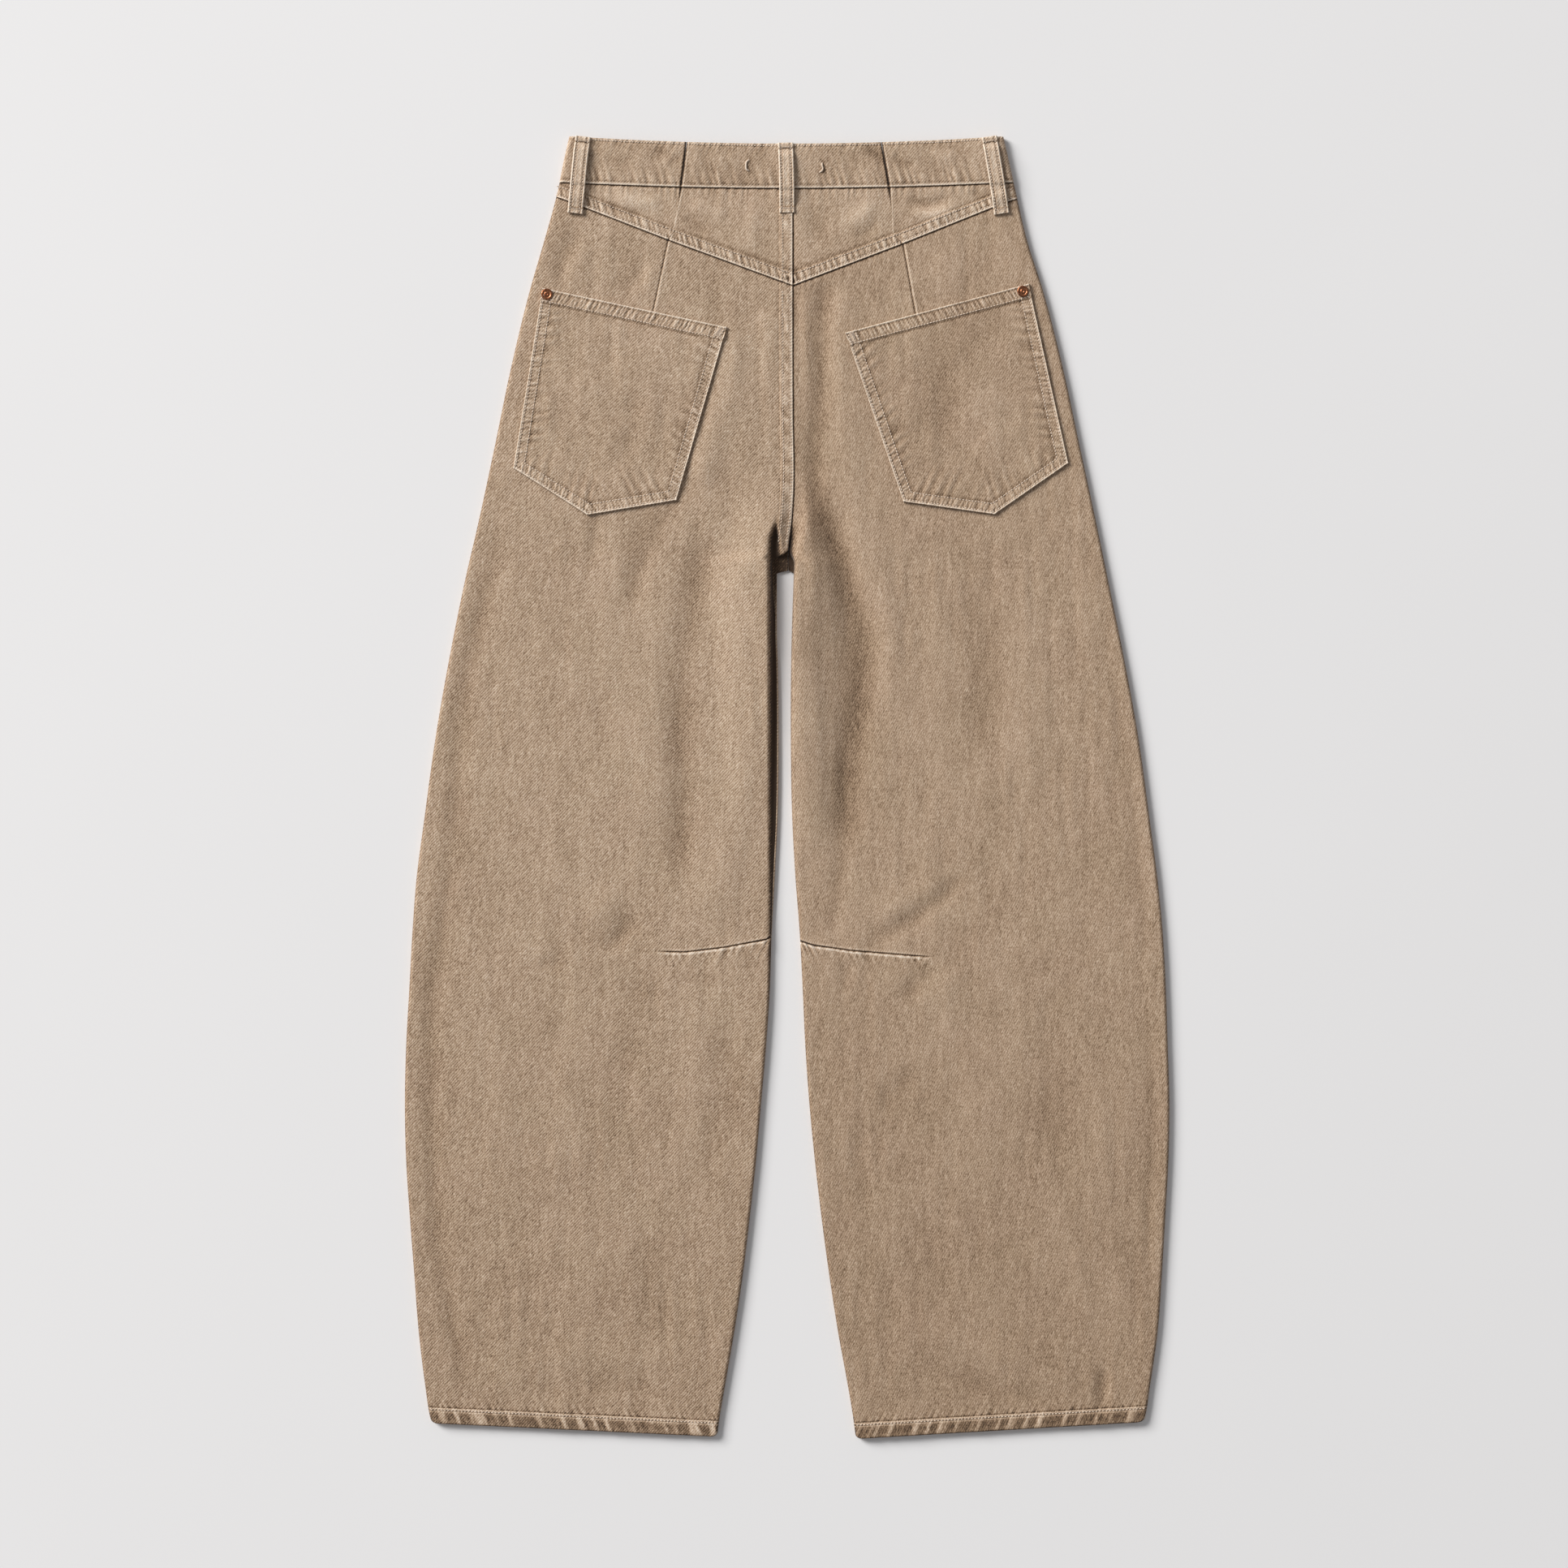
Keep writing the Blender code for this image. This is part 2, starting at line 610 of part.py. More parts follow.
def belt_loop(name, loop, look):
    """A strap that stands clear of the waistband between its two ends."""
    ends = np.array([loop.top, loop.bottom])
    length = float(np.hypot(*(ends[1] - ends[0])))
    places = np.array([0.0, LOOP_END, LOOP_END + 4.0, 20.0, 32.0, 42.0,
                       length - LOOP_END - 6.0, length - LOOP_END, length])
    widths = np.linspace(-0.5, 0.5, 5) * LOOP_WIDTH
    direction = (ends[1] - ends[0]) / length
    beside = np.array([-direction[1], direction[0]])
    outer, inner = [], []
    for place in places:
        spot = ends[0] + direction * place
        x = spot[0] + beside[0] * widths
        y = spot[1] + beside[1] * widths
        leaves = smooth(place, LOOP_END, LOOP_END + 7.0)
        returns = smooth(place, length - LOOP_END - 9.0, length - LOOP_END)
        stand = LOOP_STAND * float(leaves * (1.0 - returns))
        middle = base_height(np.full_like(x, spot[0]), np.full_like(y, spot[1]))
        under = np.maximum(base_height(x, y), middle) + SEAM_GAP + stand
        doubled = 0.5 if place in (0.0, length) else 0.0
        crown = 0.25 * (1.0 - (2.0 * widths / LOOP_WIDTH) ** 2)
        outer.append(np.stack([x, y, under + LOOP_WALL + doubled + crown], axis=1))
        inner.append(np.stack([x, y, under], axis=1))
    return closed_wall(name, np.array(outer), np.array(inner), look)


def back_surface(side, across, height):
    """Outer surface of a back panel, away from its rolled edges."""
    start = outer_edge(side, height)
    return LEG_HEIGHT + folds(across, height) * smooth(np.abs(across - start), 1.0, FOLD_FADE)


def pocket_point(pocket, over, down):
    """A point of a pocket, over from the outer side and down from the hem."""
    corners = {name: np.array(corner) for name, corner in pocket._asdict().items()}
    top = corners["top_outer"] + (corners["top_inner"] - corners["top_outer"]) * over
    if over < POCKET_POINT:
        part = over / POCKET_POINT
        bottom = corners["bottom_outer"] + (corners["point"] - corners["bottom_outer"]) * part
    else:
        part = (over - POCKET_POINT) / (1.0 - POCKET_POINT)
        bottom = corners["point"] + (corners["bottom_inner"] - corners["point"]) * part
    return top + (bottom - top) * down


def back_pocket(side, look):
    """A patch pocket that lies on its back panel."""
    pocket = POCKETS[side]
    depth = float(np.hypot(*(np.array(pocket.bottom_inner) - np.array(pocket.top_inner))))
    hem = POCKET_HEM / depth
    outer, inner = [], []
    for down in (0.0, hem - 0.01, hem + 0.01, 0.3, 0.5, 0.7, 0.85, 1.0):
        row = np.array([pocket_point(pocket, over, down) for over in
                        (0.0, 0.12, 0.3, POCKET_POINT, 0.62, 0.8, 1.0)])
        surface = back_surface(side, row[:, 0], row[:, 1]) + SEAM_GAP
        rise = WALL + (LAP_RISE if down < hem else 0.0)
        outer.append(np.column_stack([row, surface + rise]))
        inner.append(np.column_stack([row, surface]))
    return closed_wall("pocket_" + side, np.array(outer), np.array(inner), look)


def turned(name, centre, base, profile, look):
    """A round solid turned about a vertical axis, from (radius, height) pairs."""
    steps = 20
    points, faces = [], []
    for radius, height in profile:
        for step in range(steps):
            angle = 2.0 * math.pi * step / steps
            points.append((centre[0] + radius * math.cos(angle),
                           centre[1] + radius * math.sin(angle), base + height))
    for ring in range(len(profile) - 1):
        for step in range(steps):
            after = (step + 1) % steps
            faces.append((ring * steps + step, ring * steps + after,
                          (ring + 1) * steps + after, (ring + 1) * steps + step))
    faces.append(tuple(range(steps))[::-1])
    last = (len(profile) - 1) * steps
    faces.append(tuple(range(last, last + steps)))
    return solid(name, np.array(points) * MM, faces, look)


def rivet(side, look):
    """A copper rivet head with a raised rim on the pocket's outer corner."""
    spot = RIVETS[side]
    surface = float(back_surface(side, np.array([spot[0]]), np.array([spot[1]]))[0])
    base = surface + SEAM_GAP + WALL + LAP_RISE + SEAM_GAP
    profile = [
        (RIVET_RADIUS, 0.0), (RIVET_RADIUS, 0.6), (0.86 * RIVET_RADIUS, RIVET_HEIGHT * 0.8),
        (0.62 * RIVET_RADIUS, 0.6), (0.4 * RIVET_RADIUS, 0.7), (0.2 * RIVET_RADIUS, RIVET_HEIGHT),
    ]
    return turned("rivet_" + side, spot, base, profile, look)


def fly(look):
    """The strip behind the front opening, inside the front panels."""
    middle = float(centre_seam(480.0))
    outer, inner = [], []
    top = float(band_seam(middle) - front_dip(middle)) - 2.0
    for down in np.linspace(0.0, 1.0, 8):
        y = top - FLY_LENGTH * down
        narrow = 1.0 - 0.55 * down ** 3
        x = middle + FLY_WIDTH * narrow * np.linspace(-0.5, 0.5, 4)
        under = WALL + SEAM_GAP
        outer.append(np.stack([x, np.full(4, y), np.full(4, under + WALL)], axis=1))
        inner.append(np.stack([x, np.full(4, y), np.full(4, under)], axis=1))
    return closed_wall("fly", np.array(outer), np.array(inner), look)


def button(look):
    """The shank button's cap, pressed into the waistband's under side."""
    profile = [
        (BUTTON_RADIUS - 0.8, 0.0), (BUTTON_RADIUS, 0.4), (BUTTON_RADIUS, 0.9),
        (BUTTON_RADIUS - 0.8, BUTTON_HEIGHT),
    ]
    return turned("button", button_place(), 0.0, profile, look)


def yoke(look):
    """The four pieces of the yoke."""
    half = SEAM_GAP / 2

    def side_edge(side, down):
        across = outer_edge(side, BAND_SEAM)
        top = band_seam(across)
        return outer_edge(side, top + (yoke_seam(across) - top) * down)

    def centre(down):
        return centre_seam(BAND_SEAM + (yoke_seam(centre_seam(BAND_SEAM)) - BAND_SEAM) * down)

    yoke_piece("yoke_side_left", lambda down: side_edge("left", down),
               lambda down: in_yoke(DART_LEFT, down) - half, True, look)
    yoke_piece("yoke_centre_left", lambda down: in_yoke(DART_LEFT, down) + half,
               lambda down: centre(down) - half, False, look)
    yoke_piece("yoke_centre_right", lambda down: in_yoke(DART_RIGHT, down) - half,
               lambda down: centre(down) + half, False, look)
    yoke_piece("yoke_side_right", lambda down: side_edge("right", down),
               lambda down: in_yoke(DART_RIGHT, down) + half, True, look)


def main():
    clear_scene()
    cloth = material("washed_denim", CLOTH, 0.9, 0.0)
    copper = material("copper", COPPER, 0.4, 1.0)
    for side in ("left", "right"):
        front_panel(side, cloth)
        back_panel(side, cloth)
        band_side(side, cloth)
        back_pocket(side, cloth)
        rivet(side, copper)
    yoke(cloth)
    band_back(cloth)
    for name, loop in LOOPS.items():
        belt_loop("belt_loop_" + name, loop, cloth)
    fly(cloth)
    button(copper)


main()
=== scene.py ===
"""Looks of the barrel leg trousers: washed tan denim, laid flat with the back up.

+X runs to the right of the photo, +Y to the waist and +Z up from the surface.
Sizes are in millimetres and become metres when a mesh is made. Each piece of
cloth is a thin closed shell on its solid's form, with creases, seams and
puckers in its outer side. Its attribute of fading and painted light is above 0
where washing has rubbed the cloth pale and where a little painted highlight is
put on crease ridges, puckers and the welts that face the light, and below 0
where the cloth stays dark and where shade is painted into grooves, seam lines,
crease troughs, rolled edges, under laps, beside thread tacks and in the crotch.
"""
import math
from collections import namedtuple

import bmesh
import bpy
import numpy as np
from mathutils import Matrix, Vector
from mathutils.kdtree import KDTree


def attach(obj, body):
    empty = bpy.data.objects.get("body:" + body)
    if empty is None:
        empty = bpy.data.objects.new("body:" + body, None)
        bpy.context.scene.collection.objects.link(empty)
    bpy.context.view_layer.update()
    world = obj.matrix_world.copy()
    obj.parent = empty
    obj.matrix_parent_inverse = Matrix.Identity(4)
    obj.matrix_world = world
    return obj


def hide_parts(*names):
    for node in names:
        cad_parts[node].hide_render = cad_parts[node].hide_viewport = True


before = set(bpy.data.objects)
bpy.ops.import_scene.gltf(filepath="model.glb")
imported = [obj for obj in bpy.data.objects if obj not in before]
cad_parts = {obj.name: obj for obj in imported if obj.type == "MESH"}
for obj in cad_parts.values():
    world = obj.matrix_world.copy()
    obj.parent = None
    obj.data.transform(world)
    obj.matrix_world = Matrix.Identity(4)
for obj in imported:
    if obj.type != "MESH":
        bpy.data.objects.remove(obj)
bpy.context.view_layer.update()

MM = 0.001

# The cloth and how it lies, as in the solids
WALL = 1.2
SEAM_GAP = 0.3
LEG_HEIGHT = 5.2
ROLL_WIDTH = 2.8
SEAM_LEVEL = LEG_HEIGHT / 2
FOLD_FADE = 14.0
INNER_FADE = 7.0
HEM_WIDTH = 12.5
HEM_RISE = 0.5
HEM_CORNER = 3.6
LAP_WIDTH = 10.4
LAP_RISE = 0.5

# How deep the hidden fronts fold where the back is raised
FRONT_FOLD = 0.8

# Direction along X from a leg's side seam to its inside
INWARD = {"left": 1.0, "right": -1.0}

# Waistband
BAND_WALL = 2.4
BAND_RISE = 1.0
BAND_TOP = 515.5
BAND_TOP_CURVE = 6.2
BAND_SEAM = 479.7
BAND_SEAM_CURVE = 4.6
BAND_HALF_WIDTH = 180.0
FRONT_DIP = 24.0
BAND_SIDE_TOP = 521.0
BAND_SIDE_SEAM = 484.3
CENTRE_FRONT_HEIGHT = 480.0

# Crotch
BACK_CROTCH = 185.0
FRONT_CROTCH = 172.5
CROTCH_SPAN = 6.0
FRONT_SPAN = 1.6
LEVEL_SEAT = 240.0
FRONT_INNER = -8.4

# Heights of the panels' uppermost rows before they bend to their seams
YOKE_LEVEL = 421.0
WAIST_LEVEL = 466.0
BEND_END = 250.0

KNEE_HEIGHT = -132.0

# Belt loops, pockets, rivets, fly and button
LOOP_WIDTH = 12.2
LOOP_STAND = 1.9
LOOP_WALL = 1.3
LOOP_END = 4.5
POCKET_HEM = 11.5
POCKET_POINT = 0.46
RIVET_RADIUS = 4.6
FLY_WIDTH = 36.0
FLY_LENGTH = 150.0
BUTTON_RADIUS = 8.5
BUTTON_HEIGHT = 1.3
BUTTON_OFFSET = 16.0

# Sewing thread
STITCH_PITCH = 2.5
STITCH_RADIUS = 0.42
ROW_NEAR = 2.1
ROW_FAR = 8.3
POCKET_HEM_ROW = 10.2

# Outline of the two legs, from the waist down to the hems
Section = namedtuple("Section", "height left_outer left_inner right_inner right_outer")
SECTIONS = [
    Section(522.0, -174.5, -12.5, 4.8, 173.0),
    Section(500.0, -179.5, -12.5, 4.8, 178.0),
    Section(480.0, -183.5, -12.5, 4.8, 182.5),
    Section(435.5, -195.5, -12.5, 4.8, 193.0),
    Section(403.0, -205.0, -12.5, 4.8, 203.5),
    Section(338.0, -221.0, -12.5, 4.8, 220.5),
    Section(273.0, -234.5, -12.5, 5.5, 234.5),
    Section(208.0, -248.5, -12.5, 6.5, 248.5),
    Section(171.5, -257.0, -12.0, 5.2, 256.0),
    Section(110.5, -269.5, -8.0, 3.3, 268.5),
    Section(42.5, -281.5, -7.0, 2.8, 281.0),
    Section(-26.0, -291.0, -7.8, 4.0, 290.5),
    Section(-71.5, -297.0, -10.0, 6.5, 296.5),
    Section(-117.0, -300.5, -12.5, 10.0, 301.0),
    Section(-162.5, -303.0, -14.0, 12.4, 303.5),
    Section(-208.0, -305.5, -17.0, 14.5, 305.0),
    Section(-253.5, -306.5, -21.0, 17.7, 306.3),
    Section(-299.0, -305.5, -25.0, 22.1, 305.5),
    Section(-344.5, -302.5, -30.0, 27.4, 303.0),
    Section(-390.0, -299.0, -35.5, 33.5, 300.3),
    Section(-435.5, -295.5, -42.3, 40.5, 297.0),
    Section(-481.0, -290.0, -50.1, 48.8, 290.6),
    Section(-503.8, -286.5, -54.0, 52.6, 287.0),
    Section(-522.0, -281.5, -56.5, 55.0, 281.5),
]

# The centre back seam, from the waist down to the crotch
SeamPoint = namedtuple("SeamPoint", "height across")
CENTRE_SEAM = [
    SeamPoint(520.0, 4.5),
    SeamPoint(300.0, 4.8),
    SeamPoint(236.0, 5.2),
    SeamPoint(212.0, 3.6),
    SeamPoint(192.0, 1.0),
    SeamPoint(160.0, 1.0),
]

# Lower seam of the yoke, a wide V with a small step at each dart
YokePoint = namedtuple("YokePoint", "across height")
YOKE_SEAM = [
    YokePoint(-210.0, 480.5),
    YokePoint(-184.0, 472.5),
    YokePoint(-96.0, 438.5),
    YokePoint(4.6, 401.7),
    YokePoint(93.5, 435.5),
    YokePoint(177.0, 469.0),
    YokePoint(210.0, 479.0),
]

# Seam that runs down through the waistband and the yoke on each side, and the
# dart that goes on below it to the pocket
DartSeam = namedtuple("DartSeam", "band_top band_seam yoke_seam")
DART_SEAMS = {
    "left": DartSeam(-80.6, -85.2, -95.2),
    "right": DartSeam(75.4, 81.6, 91.9),
}
PanelDart = namedtuple("PanelDart", "upper lower")
PANEL_DARTS = {
    "left": PanelDart((-95.6, 437.5), (-107.4, 382.0)),
    "right": PanelDart((92.5, 435.5), (102.6, 379.0)),
}

# Hems: height of the lower edge under the outer and the inner side of a leg
Hem = namedtuple("Hem", "outer inner")
HEMS = {"left": Hem(-509.5, -520.3), "right": Hem(-508.5, -522.0)}

# Knee darts, as the height above KNEE_HEIGHT at distances from the inner edge
DartPoint = namedtuple("DartPoint", "inward rise")
KNEE_DARTS = {
    "left": [DartPoint(0.0, 13.0), DartPoint(4.5, 10.0), DartPoint(39.0, 3.6),
             DartPoint(69.0, 0.0), DartPoint(95.0, 0.5)],
    "right": [DartPoint(0.0, 9.0), DartPoint(10.0, 5.6), DartPoint(41.0, 1.2),
              DartPoint(90.0, -2.8), DartPoint(108.0, -4.0)],
}

# How much deeper and wider all the creases are than in the tables, and how much
# deeper again those of the waist are
CREASE_GAIN = 1.35
CREASE_WIDENING = 1.2
WAIST_GAIN = 1.8

# The centre back seam's band: where its puckers start and how strong they are
CENTRE_SEED = 1.9
CENTRE_DEPTH = 0.45

# Creases of the upper layer, each on a smooth curve through its points. A rise
# below 0 is a trough.
Crease = namedtuple("Crease", "path half_width rise")
CREASES = [
    # Left leg: the smooth ridge beside the inside leg and the trough next to it
    Crease([(-13.0, 240.0), (-30.0, 193.0), (-43.0, 145.0), (-42.0, 90.0), (-37.0, 6.0),
            (-42.0, -24.0), (-56.0, -80.0), (-78.0, -132.0)], 13.0, 0.9),
    Crease([(-64.0, 212.0), (-74.0, 160.0), (-84.0, 105.0), (-86.0, 45.0), (-83.0, -15.0),
            (-88.0, -84.0)], 10.5, -1.35),
    Crease([(-86.0, 190.0), (-104.0, 60.0), (-100.0, -60.0)], 20.0, 0.8),
    Crease([(-39.0, 378.0), (-43.0, 331.0), (-52.0, 301.0), (-65.0, 266.0), (-78.0, 235.0)], 9.0, 0.9),
    Crease([(-56.0, 372.0), (-65.0, 318.0), (-76.0, 271.0), (-80.0, 243.0), (-99.0, 214.0),
            (-117.0, 171.0), (-126.0, 130.0)], 6.0, -0.6),
    Crease([(-108.0, 240.0), (-118.0, 200.0), (-122.0, 130.0)], 8.0, -0.5),
    Crease([(-152.0, 225.0), (-154.0, 200.0), (-158.0, 172.0)], 5.0, -0.45),
    Crease([(-135.0, 215.0), (-140.0, 150.0), (-138.0, 60.0)], 9.0, 0.4),
    # Left leg: the trough beside the side seam, all the way down
    Crease([(-223.0, 250.0), (-238.0, 167.0), (-249.0, 123.0), (-260.0, 67.0), (-266.0, -20.0),
            (-273.0, -93.0), (-284.0, -175.0), (-284.0, -297.0), (-275.0, -392.0),
            (-260.0, -462.0), (-256.0, -485.0)], 6.5, -0.7),
    # Left leg: round the knee dart and below it
    Crease([(-150.0, -132.0), (-134.0, -119.0), (-118.0, -98.0)], 6.5, -1.1),
    Crease([(-160.0, -112.0), (-150.0, -98.0), (-134.0, -78.0)], 9.0, 0.6),
    Crease([(-200.0, -138.0), (-190.0, -142.0), (-178.0, -140.0)], 5.0, -0.5),
    Crease([(-126.0, -158.0), (-114.0, -166.0), (-100.0, -166.0)], 6.0, -0.5),
    Crease([(-170.0, -190.0), (-176.0, -250.0), (-172.0, -330.0)], 13.0, 0.5),
    Crease([(-120.0, -190.0), (-132.0, -240.0), (-128.0, -300.0)], 10.0, -0.45),
    Crease([(-66.0, -150.0), (-74.0, -230.0), (-88.0, -330.0)], 12.0, 0.45),
    Crease([(-46.0, -160.0), (-52.0, -240.0), (-66.0, -340.0)], 9.0, -0.4),
    Crease([(-226.0, -210.0), (-230.0, -280.0), (-224.0, -360.0)], 11.0, 0.45),
    Crease([(-104.0, -345.0), (-110.0, -400.0), (-100.0, -460.0)], 11.0, -0.4),
    Crease([(-180.0, -385.0), (-168.0, -420.0), (-170.0, -470.0)], 12.0, 0.4),
    Crease([(-230.0, -470.0), (-150.0, -452.0), (-90.0, -466.0)], 8.0, 0.45),
    Crease([(-220.0, -488.0), (-150.0, -478.0), (-80.0, -488.0)], 6.0, -0.45),
    # Right leg: the long trough from the yoke to the knee and the ridge beside it
    Crease([(31.0, 408.0), (29.0, 385.0), (28.0, 335.0), (23.0, 270.0), (24.0, 215.0)], 6.5, -1.2),
    Crease([(50.0, 404.0), (47.0, 370.0), (46.0, 310.0), (50.0, 260.0), (58.0, 215.0)], 9.0, 0.7),
    Crease([(22.0, 255.0), (30.0, 212.0), (46.0, 175.0), (59.0, 120.0), (58.0, 71.0), (50.0, 25.0),
            (47.0, -20.0), (44.0, -70.0)], 10.0, -2.0),
    Crease([(44.0, -40.0), (40.0, -85.0), (34.0, -120.0)], 7.0, -0.5),
    Crease([(14.0, 120.0), (17.0, 50.0), (18.0, -10.0), (18.0, -80.0)], 10.0, 0.8),
    Crease([(46.0, 250.0), (72.0, 160.0), (92.0, 40.0)], 13.0, 0.9),
    Crease([(152.0, 210.0), (160.0, 100.0), (156.0, 0.0)], 13.0, -0.5),
    Crease([(186.0, 190.0), (190.0, 90.0), (184.0, -20.0)], 15.0, 0.5),
    Crease([(120.0, 200.0), (126.0, 120.0), (122.0, 30.0)], 13.0, 0.4),
    Crease([(254.0, 150.0), (276.0, 0.0), (290.0, -170.0)], 8.0, -0.45),
    Crease([(290.0, -150.0), (291.0, -300.0), (280.0, -440.0)], 7.0, -0.5),
    # Right leg: round the knee dart and below it
    Crease([(150.0, -62.0), (114.0, -96.0), (62.0, -128.0)], 5.5, -1.0),
    Crease([(132.0, -62.0), (98.0, -90.0), (62.0, -110.0)], 9.0, 0.7),
    Crease([(118.0, -140.0), (104.0, -158.0), (84.0, -176.0)], 6.0, -0.7),
    Crease([(136.0, -142.0), (128.0, -160.0), (112.0, -176.0)], 8.0, 0.5),
    Crease([(49.0, -136.0), (48.0, -150.0), (46.0, -166.0)], 4.5, -0.6),
    Crease([(108.0, -226.0), (88.0, -242.0), (66.0, -266.0)], 7.0, -0.6),
    Crease([(62.0, -266.0), (58.0, -300.0), (66.0, -350.0)], 8.0, -0.4),
    Crease([(150.0, -190.0), (158.0, -250.0), (150.0, -330.0)], 14.0, 0.45),
    Crease([(208.0, -170.0), (214.0, -240.0), (206.0, -320.0)], 14.0, -0.4),
    Crease([(250.0, -220.0), (252.0, -290.0), (246.0, -370.0)], 12.0, 0.4),
    Crease([(104.0, -330.0), (112.0, -370.0), (134.0, -420.0)], 10.0, -0.4),
    Crease([(86.0, -412.0), (140.0, -446.0), (206.0, -466.0)], 8.0, 0.7),
    Crease([(98.0, -456.0), (160.0, -482.0), (216.0, -490.0)], 6.0, -0.55),
    Crease([(226.0, -360.0), (236.0, -400.0), (240.0, -450.0)], 9.0, 0.5),
    Crease([(253.0, -462.0), (252.0, -486.0), (250.0, -508.0)], 4.5, -1.0),
    # Seat: from the yoke and the waist down to the pockets
    Crease([(-103.0, 425.0), (-112.0, 405.0), (-124.0, 388.0)], 5.5, 0.6),
    Crease([(-113.0, 425.0), (-122.0, 405.0), (-132.0, 390.0)], 5.5, -0.4),
    Crease([(-158.0, 440.0), (-167.0, 420.0), (-173.0, 398.0)], 7.0, 0.55),
    Crease([(-168.0, 448.0), (-178.0, 424.0), (-184.0, 400.0)], 6.0, -0.6),
    Crease([(-60.0, 410.0), (-58.0, 380.0), (-62.0, 355.0)], 8.0, -0.4),
    Crease([(8.0, 402.0), (7.0, 385.0), (8.0, 360.0)], 4.0, -0.5),
    Crease([(-18.0, 385.0), (-16.0, 350.0), (-18.0, 300.0)], 7.0, 0.4),
    Crease([(122.0, 430.0), (126.0, 410.0), (132.0, 392.0)], 7.0, 0.45),
    Crease([(-90.0, 330.0), (-94.0, 290.0), (-104.0, 245.0)], 10.0, -0.5),
    Crease([(-122.0, 320.0), (-124.0, 290.0), (-132.0, 250.0)], 6.0, -0.45),
    Crease([(122.0, 350.0), (126.0, 310.0), (128.0, 270.0)], 12.0, -0.5),
    Crease([(158.0, 330.0), (162.0, 290.0), (160.0, 240.0)], 12.0, 0.4),
]

# Small creases of the yoke and the waistband
WAIST_CREASES = [
    Crease([(-108.0, 514.0), (-97.0, 506.0), (-85.0, 500.0)], 4.0, -0.45),
    Crease([(-100.0, 496.0), (-93.0, 505.0), (-84.0, 513.0)], 3.0, 0.3),
    Crease([(-66.0, 508.0), (-52.0, 502.0), (-38.0, 506.0)], 4.0, 0.25),
    Crease([(62.0, 512.0), (72.0, 506.0), (80.0, 495.0)], 3.5, -0.4),
    Crease([(84.0, 508.0), (92.0, 500.0), (104.0, 497.0)], 3.5, -0.4),
    Crease([(112.0, 512.0), (124.0, 505.0), (138.0, 508.0)], 4.0, 0.3),
    Crease([(-148.0, 508.0), (-136.0, 500.0), (-124.0, 502.0)], 4.0, -0.25),
    Crease([(-140.0, 476.0), (-120.0, 468.0), (-100.0, 470.0)], 4.5, 0.4),
    Crease([(-150.0, 470.0), (-132.0, 461.0), (-112.0, 458.0)], 3.5, -0.4),
    Crease([(-78.0, 470.0), (-62.0, 462.0), (-46.0, 458.0)], 4.5, 0.35),
    Crease([(-82.0, 460.0), (-74.0, 450.0), (-60.0, 444.0)], 4.0, -0.35),
    Crease([(92.0, 472.0), (112.0, 467.0), (134.0, 474.0)], 3.5, -0.45),
    Crease([(96.0, 464.0), (118.0, 458.0), (142.0, 468.0)], 4.0, 0.45),
    Crease([(70.0, 470.0), (60.0, 458.0), (44.0, 450.0)], 5.0, 0.35),
    Crease([(74.0, 456.0), (66.0, 446.0), (52.0, 440.0)], 4.0, -0.35),
    Crease([(18.0, 470.0), (26.0, 450.0), (22.0, 428.0)], 6.0, -0.3),
    Crease([(-24.0, 468.0), (-30.0, 446.0), (-26.0, 424.0)], 6.0, 0.3),
    Crease([(146.0, 480.0), (156.0, 473.0), (168.0, 476.0)], 3.5, -0.4),
]

# Back pockets, one corner after another round each outline
Pocket = namedtuple("Pocket", "top_outer top_inner bottom_inner point bottom_outer")
POCKETS = {
    "left": Pocket((-196.0, 400.0), (-48.2, 368.5), (-88.6, 229.7),
                   (-160.0, 217.8), (-219.5, 255.5)),
    "right": Pocket((193.3, 403.4), (46.2, 364.0), (92.7, 228.5),
                    (166.0, 218.3), (225.2, 259.4)),
}
RIVETS = {"left": (-192.4, 394.5), "right": (188.5, 396.8)}

# Belt loops: middle of the upper end and of the lower end
Loop = namedtuple("Loop", "top bottom")
LOOPS = {
    "left": Loop((-163.2, 520.8), (-170.3, 459.5)),
    "centre": Loop((-1.3, 515.8), (-0.3, 460.0)),
    "right": Loop((162.0, 520.8), (171.3, 459.0)),
}

# Thread tacks on the waistband, each a short bent thread
TACKS = {
    "left": [(-30.4, 502.4), (-32.6, 500.6), (-33.0, 497.4), (-32.6, 494.6), (-30.2, 493.6)],
    "right": [(27.8, 500.2), (28.0, 497.6), (28.6, 495.4), (27.8, 493.6), (25.6, 492.2)],
}

# Rectangles that hold the pieces as they are cut
Cut = namedtuple("Cut", "width length")

# Distances from an edge at which the columns or rows of a grid lie
FINE = np.array([0.0, 0.22, 0.5, 0.85, 1.25, 1.7, 2.3, 3.1, 4.1, 5.2, 6.3, 7.2, 7.9, 8.5, 9.2, 10.2])
LAP_ROWS = np.array([0.0, 0.22, 0.5, 0.85, 1.25, 1.7, 2.3, 3.1, 4.1, 5.2, 6.3, 7.2, 7.9, 8.5,
                     9.1, 9.6, 10.0, 10.4, 10.8, 11.3])
ROLL_COLUMNS = 8

# Colours of the cloth in sRGB: the painted shade of its deepest grooves, seam
# lines and crotch, its own dark, middle and pale tones, and its palest rubbed
# edges and painted highlights
PAINTED_SHADE = (64, 48, 36)
DARK = (122, 97, 75)
MIDDLE = (174, 147, 123)
PALE = (208, 184, 162)
RUBBED = (232, 215, 198)


def smooth(value, start, end):
    """Rise evenly from 0 at start to 1 at end, with level ends."""
    part = np.clip((value - start) / (end - start), 0.0, 1.0)
    return part * part * (3.0 - 2.0 * part)


def bell(value, width):
    return np.exp(-((value / width) ** 2))


